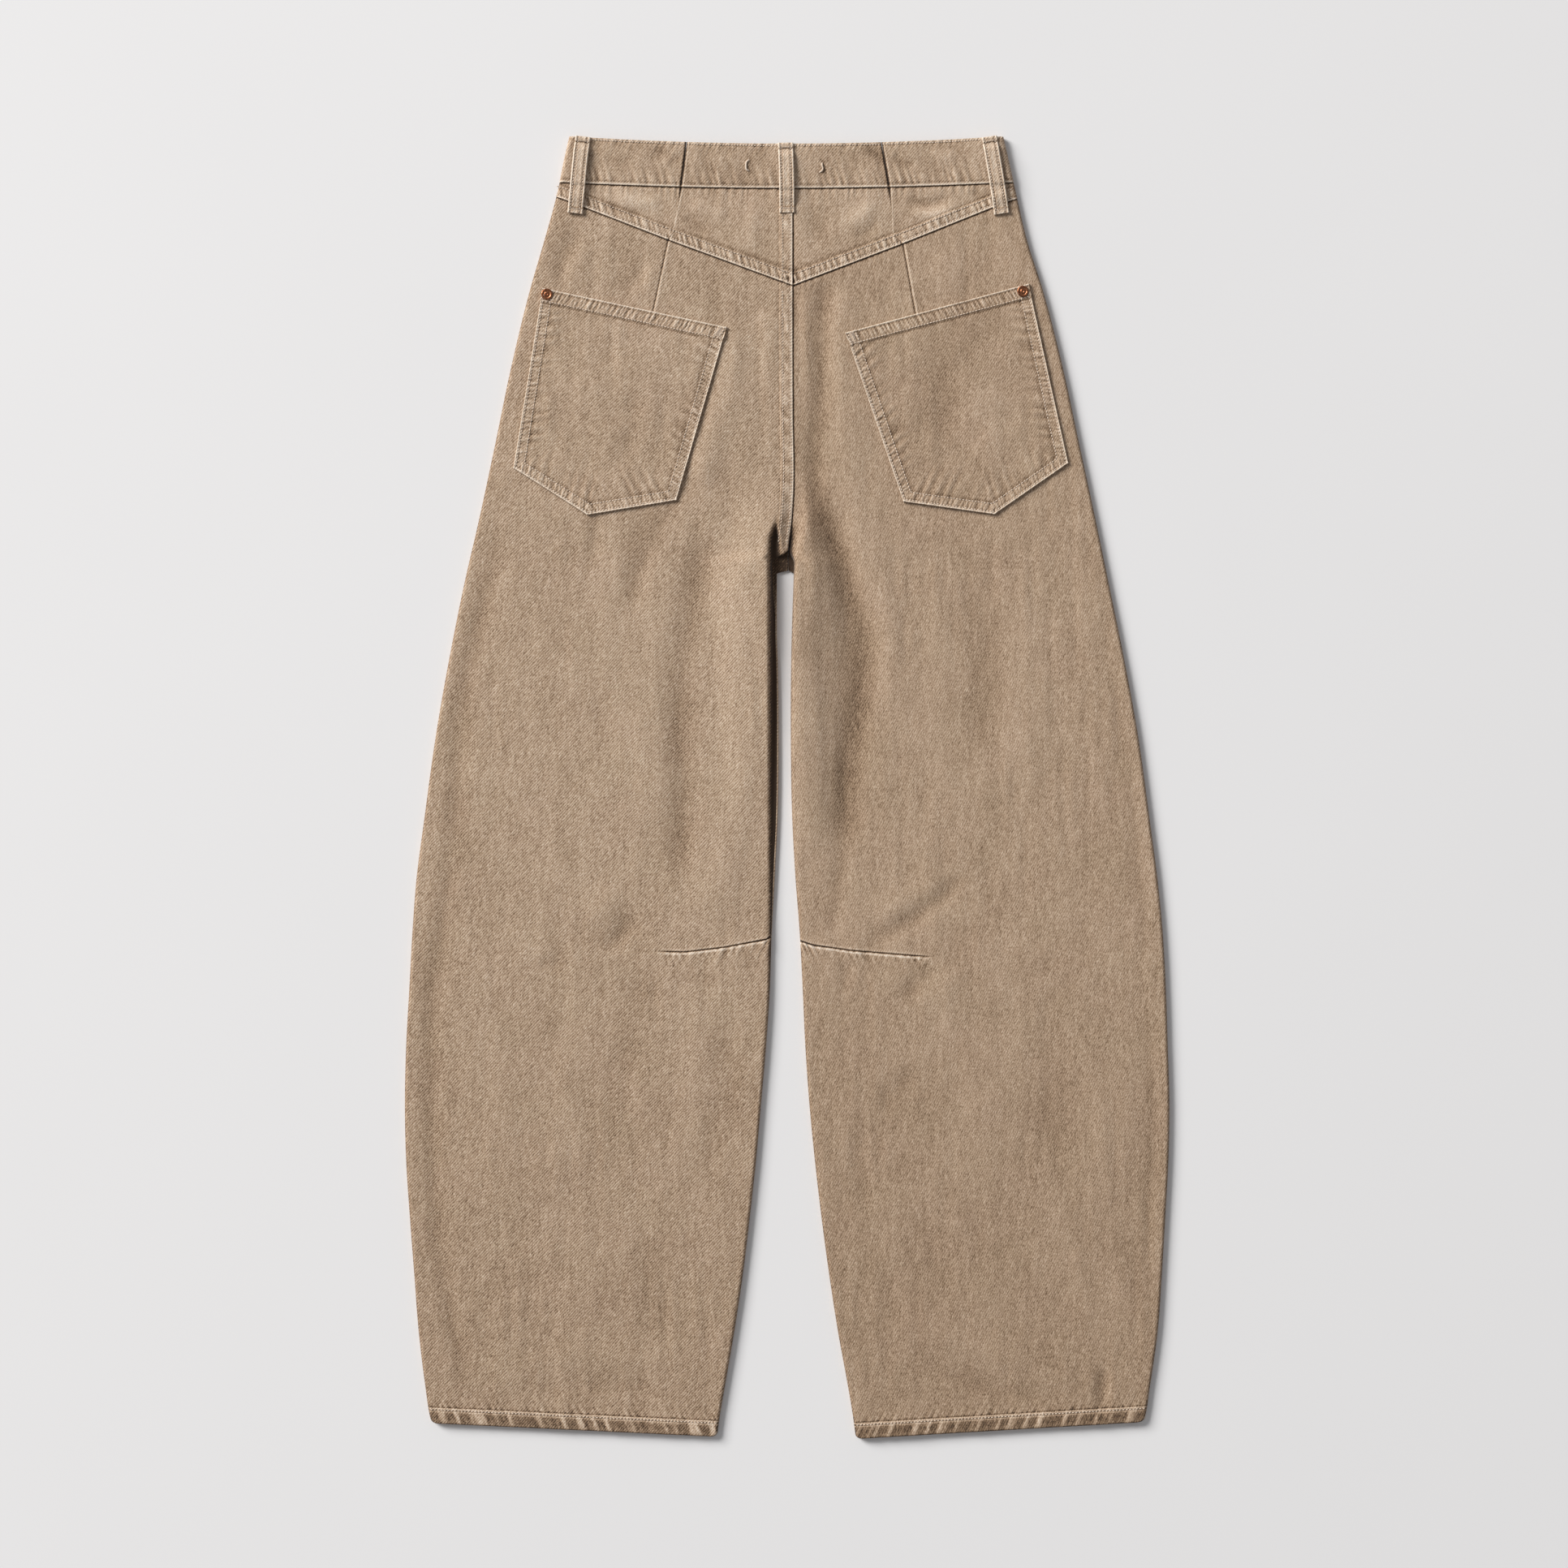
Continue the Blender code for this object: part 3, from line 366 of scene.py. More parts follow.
def spline(where, knots, values):
    """Smooth curve through knots, which increase, and their values."""
    knots = np.asarray(knots, float)
    values = np.asarray(values, float)
    slopes = np.gradient(values, knots)
    where = np.clip(where, knots[0], knots[-1])
    i = np.clip(np.searchsorted(knots, where) - 1, 0, len(knots) - 2)
    step = knots[i + 1] - knots[i]
    t = (where - knots[i]) / step
    return (
        (1 + 2 * t) * (1 - t) ** 2 * values[i]
        + t * (1 - t) ** 2 * step * slopes[i]
        + t * t * (3 - 2 * t) * values[i + 1]
        + t * t * (t - 1) * step * slopes[i + 1]
    )


def ripple(place, pitch, seed):
    """Uneven wave along a seam, from -1 to 1, with about one pucker to a pitch."""
    turn = 2.0 * math.pi * place / pitch
    slow = np.sin(0.217 * turn + seed) + 0.6 * np.sin(0.471 * turn + 2.3 * seed)
    strength = 0.68 + 0.32 * np.sin(0.139 * turn + 1.7 * seed)
    return strength * np.sin(turn + 1.4 * slow + seed)


def uneven(across, height, size, seed):
    """Smooth random relief from -1 to 1 in patches of about the given size."""
    cells = 97
    lattice = np.random.default_rng(seed).uniform(-1.0, 1.0, (cells, cells))
    u = across / size + 1000.0
    v = height / size + 1000.0
    i = np.floor(u).astype(int)
    j = np.floor(v).astype(int)
    u = smooth(u - i, 0.0, 1.0)
    v = smooth(v - j, 0.0, 1.0)
    near = lattice[i % cells, j % cells] * (1 - u) + lattice[(i + 1) % cells, j % cells] * u
    far = lattice[i % cells, (j + 1) % cells] * (1 - u)
    far = far + lattice[(i + 1) % cells, (j + 1) % cells] * u
    return near * (1 - v) + far * v


def leg_edge(column, height):
    rows = SECTIONS[::-1]
    return spline(height, [row.height for row in rows], [getattr(row, column) for row in rows])


def centre_seam(height):
    rows = CENTRE_SEAM[::-1]
    return spline(height, [row.height for row in rows], [row.across for row in rows])


def band_top(across):
    return BAND_TOP + BAND_TOP_CURVE * (across / BAND_HALF_WIDTH) ** 2


def band_seam(across):
    return BAND_SEAM + BAND_SEAM_CURVE * (across / BAND_HALF_WIDTH) ** 2


def front_dip(across):
    """How far the front of the waist lies below the back of it."""
    return FRONT_DIP * (1.0 - smooth(np.abs(across), 0.0, BAND_HALF_WIDTH))


def yoke_seam(across):
    return np.interp(across, [p.across for p in YOKE_SEAM], [p.height for p in YOKE_SEAM])


def in_band(seam, down):
    """Place of a dart seam across the waistband, down from its top edge."""
    return seam.band_top + (seam.band_seam - seam.band_top) * down


def in_yoke(seam, down):
    """Place of a dart seam across the yoke, down from the waistband."""
    return seam.band_seam + (seam.yoke_seam - seam.band_seam) * down


def outer_edge(side, height):
    return leg_edge(side + "_outer", height)


def inner_edge(side, height, crotch):
    """Centre seam above the crotch and inside leg below it."""
    toward = -INWARD[side]
    seam = centre_seam(height) + toward * SEAM_GAP / 2
    leg = leg_edge(side + "_inner", height)
    if side == "left" and crotch == FRONT_CROTCH:
        leg = leg + (np.maximum(leg, FRONT_INNER) - leg) * smooth(height, 60.0, 130.0)
    span = CROTCH_SPAN if crotch == BACK_CROTCH else FRONT_SPAN
    above = smooth(height, crotch - span, crotch + span)
    return leg + (seam - leg) * above


def hem_edge(side, across):
    """Height of a leg's lower edge."""
    hem = HEMS[side]
    outer = outer_edge(side, hem.outer)
    inner = leg_edge(side + "_inner", hem.inner)
    return hem.outer + (hem.inner - hem.outer) * (across - outer) / (inner - outer)


def hem_middle(side):
    return (HEMS[side].outer + HEMS[side].inner) / 2


def knee_rise(side, inward):
    points = KNEE_DARTS[side]
    return np.interp(inward, [p.inward for p in points], [p.rise for p in points])


def from_curve(across, height, path):
    """Distance from the smooth curve through a path and the place along it, from 0 to 1."""
    knots = np.arange(len(path))
    steps = 5 * (len(path) - 1)
    fine = np.linspace(0.0, knots[-1], steps + 1)
    curve = np.stack([spline(fine, knots, values) for values in np.transpose(path)], axis=1)
    nearest = np.full(across.shape, np.inf)
    place = np.zeros(across.shape)
    for step, (a, b) in enumerate(zip(curve[:-1], curve[1:])):
        run = b - a
        part = ((across - a[0]) * run[0] + (height - a[1]) * run[1]) / (run @ run)
        part = np.clip(part, 0.0, 1.0)
        distance = np.hypot(across - a[0] - part * run[0], height - a[1] - part * run[1])
        closer = distance < nearest
        nearest = np.where(closer, distance, nearest)
        place = np.where(closer, (step + part) / steps, place)
    return nearest, place


def creased(across, height, table):
    """Height of the creases in a table over the level cloth."""
    total = np.zeros_like(across)
    for crease in table:
        half_width = CREASE_WIDENING * crease.half_width
        reach = 2.6 * half_width
        points = np.array(crease.path)
        low = points.min(axis=0) - reach - 10.0
        high = points.max(axis=0) + reach + 10.0
        near = (across > low[0]) & (across < high[0]) & (height > low[1]) & (height < high[1])
        if not near.any():
            continue
        distance, place = from_curve(across[near], height[near], crease.path)
        ends = 0.3 if len(crease.path) < 5 else 0.15
        taper = smooth(place, 0.0, ends) * (1.0 - smooth(place, 1.0 - ends, 1.0))
        total[near] += CREASE_GAIN * crease.rise * taper * bell(distance, half_width)
    return total


def ridge_fade_and_trough_shade(rise):
    """Colour of a crease: a ridge is a little pale, partly rubbed and partly a painted
    highlight, and a trough is darkened as painted shade.
    """
    return 0.07 * np.clip(rise, 0.0, 2.0) + 0.19 * np.clip(rise, -4.0, 0.0)


def unevenness(across, height):
    """Slight unevenness of washed cloth."""
    wide = 0.26 * uneven(across, height * 0.6, 31.0, 11)
    fine = 0.18 * uneven(across, height * 0.7, 9.0, 12)
    strands = uneven(across + 0.03 * height, height * 0.11, 6.5, 13)
    return wide + fine + 0.34 * strands * (0.6 + 0.6 * uneven(across, height, 70.0, 14))


def stitched_band(distance, along, seed, width=LAP_WIDTH, rows=(ROW_NEAR, ROW_FAR), pitch=5.4,
                  depth=1.0):
    """Relief and colour of a lapped edge with stitched rows, by the distance from its edge:
    a pale rubbed rim, painted shade where the edge turns down, in the rows' grooves
    and beyond the lap, and puckers whose crests are partly rubbed pale and partly
    painted highlight and whose troughs are painted shade.
    """
    inside = 1.0 - smooth(distance, width - 0.5, width + 0.5)
    lift = 0.3 * bell(distance - 0.8, 0.7) - 0.5 * np.exp(-distance / 0.25)
    # Pale rubbed rim, and painted shade where the edge turns down.
    wear_and_shade = 1.15 * bell(distance - 0.85, 0.55) - 0.6 * bell(distance, 0.25)
    for row in rows:
        lift = lift - 0.35 * depth * bell(distance - row - 0.2, 0.6)
        # Painted shade in each stitched row's groove.
        wear_and_shade = wear_and_shade - 0.5 * depth * bell(distance - row - 0.5, 0.6)
    middle = bell(distance - width / 2, width * 0.4)
    leaning = along + 0.35 * distance
    wave = ripple(leaning, pitch, seed)
    wave = wave * (1.5 - 0.5 * wave * wave)
    short = ripple(along, 2.9, seed + 4.0)
    lift = lift + (0.48 * depth * wave + 0.12 * short) * middle
    # Pucker crests partly rubbed pale and partly painted highlight; troughs painted shade.
    wear_and_shade = wear_and_shade + (0.6 * depth * wave + 0.35 * short + 0.1) * middle * inside
    # Painted shade just beyond the lap's edge, where the cloth steps down.
    after = bell(distance - width - 0.7, 0.9)
    return lift - 0.2 * depth * after, wear_and_shade - 0.5 * depth * after


def butted_seam(distance, welt_highlight):
    """Relief and colour beside a plain seam between two pieces that meet edge to edge:
    painted shade along the seam line and a welt beside it.

    The second argument says how pale the welt is painted, as a painted highlight
    where the welt faces the light.
    """
    lift = 0.2 * bell(distance - 1.6, 0.8) - 0.8 * np.exp(-distance / 0.7)
    # Painted highlight on the welt and painted shade along the seam line.
    wear_and_shade = welt_highlight * bell(distance - 1.6, 0.5) - 1.7 * bell(distance, 0.85)
    return lift, wear_and_shade


def quads_of(index):
    """Faces between the points of a grid of indices."""
    corners = [index[:-1, :-1], index[:-1, 1:], index[1:, 1:], index[1:, :-1]]
    return np.stack(corners, axis=-1).reshape(-1, 4).tolist()


def rim_faces(fine, kept, coarse):
    """Faces between an edge of a fine grid and the same edge of a coarser one.

    kept holds the fine edge's places that the coarse edge has too.
    """
    faces = []
    for number, (a, b) in enumerate(zip(kept[:-1], kept[1:])):
        faces.append(fine[a:b + 1].tolist() + [int(coarse[number + 1]), int(coarse[number])])
    return faces


def tube_faces(rings, sides):
    """Faces of a closed tube of rings, each with as many points as sides says."""
    index = np.arange(rings * sides).reshape(rings, sides)
    around = np.hstack([index, index[:, :1]])
    return quads_of(around) + [index[0, ::-1].tolist(), index[-1].tolist()]


def new_object(name, points, faces, look):
    mesh = bpy.data.meshes.new(name)
    mesh.from_pydata(points, [], faces)
    mesh.update()
    mesh.shade_smooth()
    mesh.materials.append(look)
    made = bpy.data.objects.new(name, mesh)
    bpy.context.scene.collection.objects.link(made)
    return made


def cloth_shell(name, outer, inner, wear_and_shade, look, coarser=2):
    """Join an outer and an inner grid of points into one closed thin shell.

    The inner side keeps one row and one column out of as many as coarser says.
    """
    rows, columns = outer.shape[:2]
    kept_rows = np.unique(np.append(np.arange(0, rows, coarser), rows - 1))
    kept_columns = np.unique(np.append(np.arange(0, columns, coarser), columns - 1))
    inner = inner[np.ix_(kept_rows, kept_columns)]
    front = np.arange(rows * columns).reshape(rows, columns)
    back = rows * columns + np.arange(inner.shape[0] * inner.shape[1]).reshape(inner.shape[:2])
    faces = quads_of(front) + quads_of(back[:, ::-1])
    faces += rim_faces(front[0, ::-1], (columns - 1 - kept_columns)[::-1], back[0, ::-1])
    faces += rim_faces(front[-1], kept_columns, back[-1])
    faces += rim_faces(front[:, 0], kept_rows, back[:, 0])
    faces += rim_faces(front[::-1, -1], (rows - 1 - kept_rows)[::-1], back[::-1, -1])
    points = np.concatenate([outer.reshape(-1, 3), inner.reshape(-1, 3)]) * MM
    made = new_object(name, points.tolist(), faces, look)
    turned_out = bmesh.new()
    turned_out.from_mesh(made.data)
    bmesh.ops.recalc_face_normals(turned_out, faces=turned_out.faces)
    turned_out.to_mesh(made.data)
    turned_out.free()
    values = np.concatenate([wear_and_shade.reshape(-1), np.zeros(len(points) - wear_and_shade.size)])
    attribute = made.data.attributes.new("wear_and_shade", "FLOAT", "POINT")
    attribute.data.foreach_set("value", values.astype(np.float32))
    return made


def finish_cloth(piece, node):
    """Fix a piece of cloth to the frame and hide the solid it stands for.

    The area stated is that of the built outer side, relief included, and at most
    the rectangle's. It isn't worked out from the cut on its own.
    """
    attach(piece, "root")
    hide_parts(node)


def spread(length, count, start=FINE, end=FINE):
    """Distances along a stretch of cloth, close together near its ends."""
    length = np.asarray(length, float)[..., None]
    part = np.linspace(0.0, 1.0, count + 2)[1:-1]
    middle = start[-1] + (length - end[-1] - start[-1]) * part
    shape = np.broadcast_shapes(length.shape[:-1] + (1,), middle.shape[:-1] + (1,))
    first = np.broadcast_to(start, shape[:-1] + start.shape)
    return np.concatenate([first, middle, length - end[::-1]], axis=-1)


def cross_rows(start, end, start_roll, end_roll, flat):
    """Places along X and drops of rows of points from edge to edge.

    start and end are the edges of each row. A roll of 1 turns an edge down to
    the level of the side seam. flat holds the places of the points between the
    two rolled strips. Returns one pair for the outer side and one for the inner.
    """
    toward = np.sign(end - start)[:, None]
    start, end = start[:, None], end[:, None]
    start_roll, end_roll = start_roll[:, None], end_roll[:, None]
    angles = np.radians(np.linspace(0.0, 90.0, ROLL_COLUMNS, endpoint=False))[None, :]
    full_drop = LEG_HEIGHT - SEAM_LEVEL - SEAM_GAP / 2
    sides = []
    for depth in (0.0, WALL):
        rolled = start_roll * depth
        first = start + toward * (rolled + (ROLL_WIDTH - rolled) * (1 - np.cos(angles)))
        first_drop = start_roll * (full_drop - depth) * (1 - np.sin(angles))
        rolled = end_roll * depth
        last = end - toward * (rolled + (ROLL_WIDTH - rolled) * (1 - np.cos(angles)))
        last_drop = end_roll * (full_drop - depth) * (1 - np.sin(angles))
        x = np.concatenate([first, flat, last[:, ::-1]], axis=1)
        drop = np.concatenate([first_drop, np.zeros_like(flat), last_drop[:, ::-1]], axis=1)
        sides.append((x, drop))
    return sides


def bend_row(side, nominal, across, inner, top, top_level):
    """Bend level rows toward the upper seam, the knee dart and the hem."""
    hem_level = hem_middle(side)
    near_top = smooth(nominal, BEND_END, top_level)
    near_knee = 1.0 - smooth(np.abs(nominal - KNEE_HEIGHT), 8.0, 80.0)
    near_hem = 1.0 - smooth(nominal, hem_level, -400.0)
    return (
        nominal
        + near_top * (top(across) - top_level)
        + near_knee * knee_rise(side, np.abs(across - inner))
        + near_hem * (hem_edge(side, across) - hem_level)
    )


def row_ends(side, nominal, crotch, top, top_level):
    """Places of the bent rows' two ends on the outline."""
    start = outer_edge(side, nominal)
    end = inner_edge(side, nominal, crotch)
    for _ in range(4):
        both = np.stack([start, end], axis=1)
        heights = bend_row(side, nominal[:, None], both, end[:, None], top, top_level)
        start = outer_edge(side, heights[:, 0])
        end = inner_edge(side, heights[:, 1], crotch)
    return start, end, heights[:, 1]


def round_corners(side, nominal, start, end):
    """Pull the rows' ends in near the hem, so that its corners are round."""
    hem_level = hem_middle(side)
    short = np.clip((HEM_CORNER - (nominal - hem_level)) / HEM_CORNER, 0.0, 1.0)
    pull = HEM_CORNER * (1.0 - np.sqrt(1.0 - short ** 2))
    toward = INWARD[side]
    return start + toward * pull, end - toward * pull


def dart_line(side, height):
    """Place along X of the dart below the yoke."""
    dart = PANEL_DARTS[side]
    part = (height - dart.lower[1]) / (dart.upper[1] - dart.lower[1])
    return dart.lower[0] + (dart.upper[0] - dart.lower[0]) * part


def panel_form(side, across, height):
    """Outer surface of a back panel before its seams, away from its rolled edges."""
    start = outer_edge(side, height)
    fade = smooth(np.abs(across - start), 1.0, FOLD_FADE)
    return LEG_HEIGHT + (creased(across, height, CREASES) + unevenness(across, height)) * fade


def crotch_fold(side, across, height):
    """Depth, from 0 to 1, of the hole and the hollow beside the centre seam's end."""
    if side == "left":
        middle = np.interp(height, [176.0, 190.0, 200.0, 214.0], [-9.6, -10.0, -9.9, -9.0])
        width = np.interp(height, [186.0, 200.0, 207.0, 214.0], [4.2, 3.5, 2.0, 0.8])
        deep = 1.0 - smooth(height, 200.0, 216.0)
        return deep * np.exp(-(np.abs((across - middle) / width) ** 3))
    beside = across - centre_seam(height)
    return 0.8 * bell(beside - 0.5, 3.4) * (1.0 - smooth(np.abs(height - 190.0), 6.0, 26.0))


def inner_ridge(side, inward, height):
    """Fullness of the cloth beside the inside leg, from the seat to above the knee."""
    rise = spline(height, [-80.0, 0.0, 80.0, 150.0, 195.0, 255.0], [0.0, 2.0, 4.4, 6.4, 5.0, 0.0])
    above = smooth(height, 178.0, 192.0)
    steep = 1.0 - np.exp(-inward / 0.6)
    soft = smooth(inward, 1.5, 13.0)
    if side == "left":
        fall = 1.0 - smooth(inward, 2.0, 54.0)
    else:
        fall = 1.0 - smooth(inward, 10.0, 44.0)
    return rise * (steep + (soft - steep) * above) * fall


def knee_dart(side, across, height, end):
    """Relief and colour of the knee dart: painted shade in its groove, pale lines beside it
    painted as highlight, strongest below it where its wall faces the light, and puckers
    below it whose crests are partly rubbed pale and partly painted highlight and whose
    troughs are painted shade.
    """
    inward = np.abs(across - end)
    length = KNEE_DARTS[side][-1].inward
    over = height - KNEE_HEIGHT - knee_rise(side, inward)
    within = 1.0 - smooth(inward, length - 16.0, length + 1.0)
    at_edge = 1.0 - smooth(inward, 4.0, 26.0)
    groove = bell(over, 0.6) * (0.75 + 0.5 * at_edge)
    upper = smooth(over, 0.0, 0.6) * np.exp(-np.abs(over) / 7.0)
    lower = (1.0 - smooth(over, -0.9, 0.0)) * np.exp(-np.abs(over) / 7.5)
    pucker = ripple(inward + 0.5 * over, 6.4, 2.0 if side == "left" else 5.0)
    lift = -0.8 * groove + 0.5 * upper + (0.25 + 1.0 * pucker) * lower
    # Painted shade in the groove and painted highlight beside it; pucker crests partly rubbed pale and
    # partly painted highlight, troughs painted shade.
    wear_and_shade = -1.5 * groove + 1.2 * bell(over + 1.6, 0.7) + 0.4 * bell(over - 1.4, 0.9)
    wear_and_shade = wear_and_shade + 1.0 * pucker * lower
    return lift * within, wear_and_shade * within


def hem_band(side, across, height, start, end):
    """Relief, colour and thickening of the turned hem: rope bars rubbed pale, pale rubbed
    lines at its top edge, a band a little darker all over, and painted shade in its
    stitch groove, at its lower fold and just above its top edge.
    """
    above = height - hem_edge(side, across)
    band = 1.0 - smooth(above, HEM_WIDTH - 0.5, HEM_WIDTH + 0.5)
    inside = smooth(np.abs(across - start), 3.0, 9.0) * smooth(np.abs(across - end), 3.0, 9.0)
    lean = 0.35 * INWARD[side]
    rope = ripple(across + lean * above, 13.5, 3.1 if side == "left" else 0.7)
    rope = rope + 0.35 * ripple(across + lean * above, 6.3, 2.2)
    small = ripple(across + 1.6 * lean * above, 5.2, 1.3)
    rope = smooth(rope, 0.0, 0.9)
    middle = bell(above - 5.5, 5.5)
    lift = HEM_RISE * band * inside + 0.4 * rope * middle - 0.6 * np.exp(-above / 0.6)
    lift = lift - 0.25 * bell(above - HEM_WIDTH + 1.5, 0.6)
    over = np.maximum(above - HEM_WIDTH, 0.0)
    beyond = smooth(above, HEM_WIDTH, HEM_WIDTH + 1.0) * np.exp(-over / 5.0)
    lift = lift + 0.5 * small * beyond
    wear_and_shade = (1.25 * rope - 0.4 + 0.25 * small) * middle + 0.75 * small * beyond
    wear_and_shade = wear_and_shade + 0.9 * bell(above - HEM_WIDTH + 0.4, 0.5) + 0.6 * bell(above - HEM_WIDTH + 2.6, 0.5)
    # Painted shade in the stitch groove, at the hem's lower fold and just above its top edge; the band is
    # also a little darker all over.
    wear_and_shade = wear_and_shade - 0.6 * bell(above - HEM_WIDTH + 1.5, 0.5) - 0.8 * bell(above, 0.9)
    wear_and_shade = wear_and_shade - 0.7 * bell(above - HEM_WIDTH - 0.8, 0.6) - 0.25 * middle
    return lift * inside, wear_and_shade, band * inside


def back_relief(side, across, height, start, end, roll):
    """Relief and colour of a back panel over its form, with painted shade and highlight
    at its seams, darts and laps, and how much its hem thickens it.
    """
    inward = np.abs(across - end)
    level = 1.0 - roll
    lift, wear_and_shade, hem = hem_band(side, across, height, start, end)
    # Darker towards the hems.
    wear_and_shade = wear_and_shade - 0.13 * smooth(-height, 0.0, 480.0)
    if side == "left":
        lap_lift, lap_wear_and_shade = stitched_band(inward, height, CENTRE_SEED, depth=CENTRE_DEPTH)
        raised = LAP_RISE * (1.0 - smooth(inward, LAP_WIDTH - 0.6, LAP_WIDTH + 0.6))
        shown = smooth(height, 184.0, 198.0)
        lift = lift + (raised + lap_lift) * level + 0.5 * bell(inward - 1.0, 0.7) * shown * roll
        wear_and_shade = wear_and_shade + lap_wear_and_shade * shown
    else:
        seam = smooth(height, 176.0, 196.0)
        lift = lift - 0.4 * np.exp(-inward / 0.6) * level
        # Painted shade along the right panel's edge where it goes under the centre back lap.
        wear_and_shade = wear_and_shade - 1.0 * bell(inward, 0.7) * seam
    dart_lift, dart_wear_and_shade = knee_dart(side, across, height, end)
    beside = across - dart_line(side, height)
    shown = smooth(height, 372.0, 382.0)
    lift = lift + dart_lift + (0.3 * bell(beside - 1.5, 1.1) - 0.5 * bell(beside, 0.55)) * shown
    # Painted shade in the dart's groove and a painted highlight on its right side, which faces the light.
    wear_and_shade = wear_and_shade + dart_wear_and_shade + (0.8 * bell(beside - 1.3, 0.55) - 1.1 * bell(beside, 0.55)) * shown
    under = yoke_seam(across) - height
    below = np.exp(-np.maximum(under, 0.0) / 4.0)
    pucker = ripple(across, 6.5, 2.7) * below * smooth(under, 0.0, 1.5)
    lift = lift + 0.3 * pucker - 0.5 * np.exp(-np.maximum(under, 0.0) / 0.8)
    # Painted shade where the panel goes under the yoke's lap.
    wear_and_shade = wear_and_shade + 0.15 * pucker - 1.5 * bell(under, 0.9)
    return lift, wear_and_shade, hem


def back_rows(side):
    """Nominal heights of a back panel's rows, close together at seams, dart and hem."""
    hem_level = hem_middle(side)
    knee = np.array([0.2, 0.5, 0.9, 1.3, 1.8, 2.4, 3.2, 4.2, 5.4, 6.8, 8.5, 10.5, 13.0, 16.0])
    hem = np.array([0.0, 0.15, 0.4, 0.8, 1.4, 2.1, 3.0, 4.1, 5.3, 6.5, 7.7, 8.8, 9.8, 10.6, 11.2,
                    11.7, 12.1, 12.5, 12.9, 13.4, 14.0, 14.7, 15.5, 16.5, 17.7, 19.0, 20.5,
                    22.0, 24.0, 26.0, 28.0, 30.0])
    stretches = [
        YOKE_LEVEL - np.array([0.0, 0.3, 0.7, 1.2, 1.9, 2.9, 4.2, 6.0, 8.5, 11.5]),
        np.arange(405.0, 214.0, -4.0),
        np.arange(212.0, 160.0, -1.25),
        np.arange(156.0, -113.0, -4.3),
        KNEE_HEIGHT + np.concatenate([knee[::-1], [0.0], -knee]),
        np.arange(-152.0, -480.0, -4.4),
        hem_level + hem[::-1],
    ]
    return np.concatenate(stretches)


def back_columns(side, start, end, dart):
    """Places of a back panel's columns between its rolled edges, for each row.

    One cluster of columns follows the dart below the yoke and one the inner edge.
    """
    toward = INWARD[side]
    cluster = np.array([-3.0, -1.6, -0.9, -0.45, 0.0, 0.45, 0.9, 1.6, 3.0])
    near = np.array([3.4, 4.0, 4.7, 5.4, 6.2, 7.0, 7.6, 8.1, 8.6, 9.1, 9.6, 10.0, 10.4, 10.8, 11.3,
                     12.0, 13.0, 14.2, 15.6, 17.2, 19.0])
    near = np.concatenate([[ROLL_WIDTH], near, np.arange(21.0, 61.0, 2.2)])
    first = start + toward * ROLL_WIDTH
    stretch_outer = np.linspace(0.0, 1.0, 56, endpoint=False)
    stretch_inner = np.linspace(0.0, 1.0, 36)[1:-1]
    outer_part = first + (dart - toward * 3.0 - first) * stretch_outer
    middle = dart + toward * cluster
    inner_end = end - toward * near[-1]
    inner_part = dart + toward * 3.0 + (inner_end - dart - toward * 3.0) * stretch_inner
    last = end - toward * near[::-1]
    return np.concatenate([outer_part, middle, inner_part, last], axis=1)


def back_panel(side, look):
    """One back panel, from the yoke down to the hem."""
    def top(across):
        return yoke_seam(across) - SEAM_GAP / 2

    nominal = back_rows(side)
    start, end, end_height = row_ends(side, nominal, BACK_CROTCH, top, YOKE_LEVEL)
    outline_end = end
    start, end = round_corners(side, nominal, start, end)
    roll = 1.0 - smooth(end_height, BACK_CROTCH - 8.0, LEVEL_SEAT)
    share = 0.47
    plain = start + (end - start) * share
    dart_height = bend_row(side, nominal, plain, outline_end, top, YOKE_LEVEL)
    on_dart = smooth(dart_height, 340.0, 378.0)
    dart = plain + (dart_line(side, dart_height) - plain) * on_dart
    column = np.newaxis
    flat = back_columns(side, start[:, column], end[:, column], dart[:, column])
    sides = cross_rows(start, end, np.ones_like(start), roll, flat)
    grids = []
    for (x, drop), depth in zip(sides, (0.0, WALL)):
        y = bend_row(side, nominal[:, column], x, outline_end[:, column], top, YOKE_LEVEL)
        inward = np.abs(x - end[:, column])
        fade = 1.0 - roll[:, column] * (1.0 - smooth(inward, 0.0, INNER_FADE))
        ridge = inner_ridge(side, inward, y)
        form = panel_form(side, x, y) - LEG_HEIGHT
        lift, wear_and_shade, hem = back_relief(side, x, y, start[:, column], end[:, column], roll[:, column])
        hole = crotch_fold(side, x, y)
        z = LEG_HEIGHT - depth - drop + form * fade + ridge
        z = z - (2.5 + ridge) * hole
        if depth:
            z = z - (WALL - HEM_RISE) * hem
            z = np.maximum(z, WALL + 0.25)
            z = np.minimum(z, grids[0][..., 2] - 0.25)
        else:
            # Painted shade along the rolled outer edge, and along the inner edge below the crotch.
            edge_painted_shade = bell(np.abs(x - start[:, column]), 1.3)
            legs_part = 1.0 - smooth(y, 182.0, 190.0)
            edge_painted_shade = edge_painted_shade + legs_part * bell(np.abs(x - end[:, column]), 1.3)
            z = np.maximum(z + lift, WALL + 0.6)
            # Painted shade in the crotch hole and along the rolled edges; crease ridges a little pale and
            # troughs painted shade.
            outer_wear_and_shade = wear_and_shade + ridge_fade_and_trough_shade(form * fade) - 2.2 * hole - 0.5 * edge_painted_shade
        grids.append(np.stack([x, y, z], axis=-1))
    piece = cloth_shell("back_panel_" + side, grids[0], grids[1], outer_wear_and_shade, look)
    finish_cloth(piece, "back_" + side)
    return grids[0]


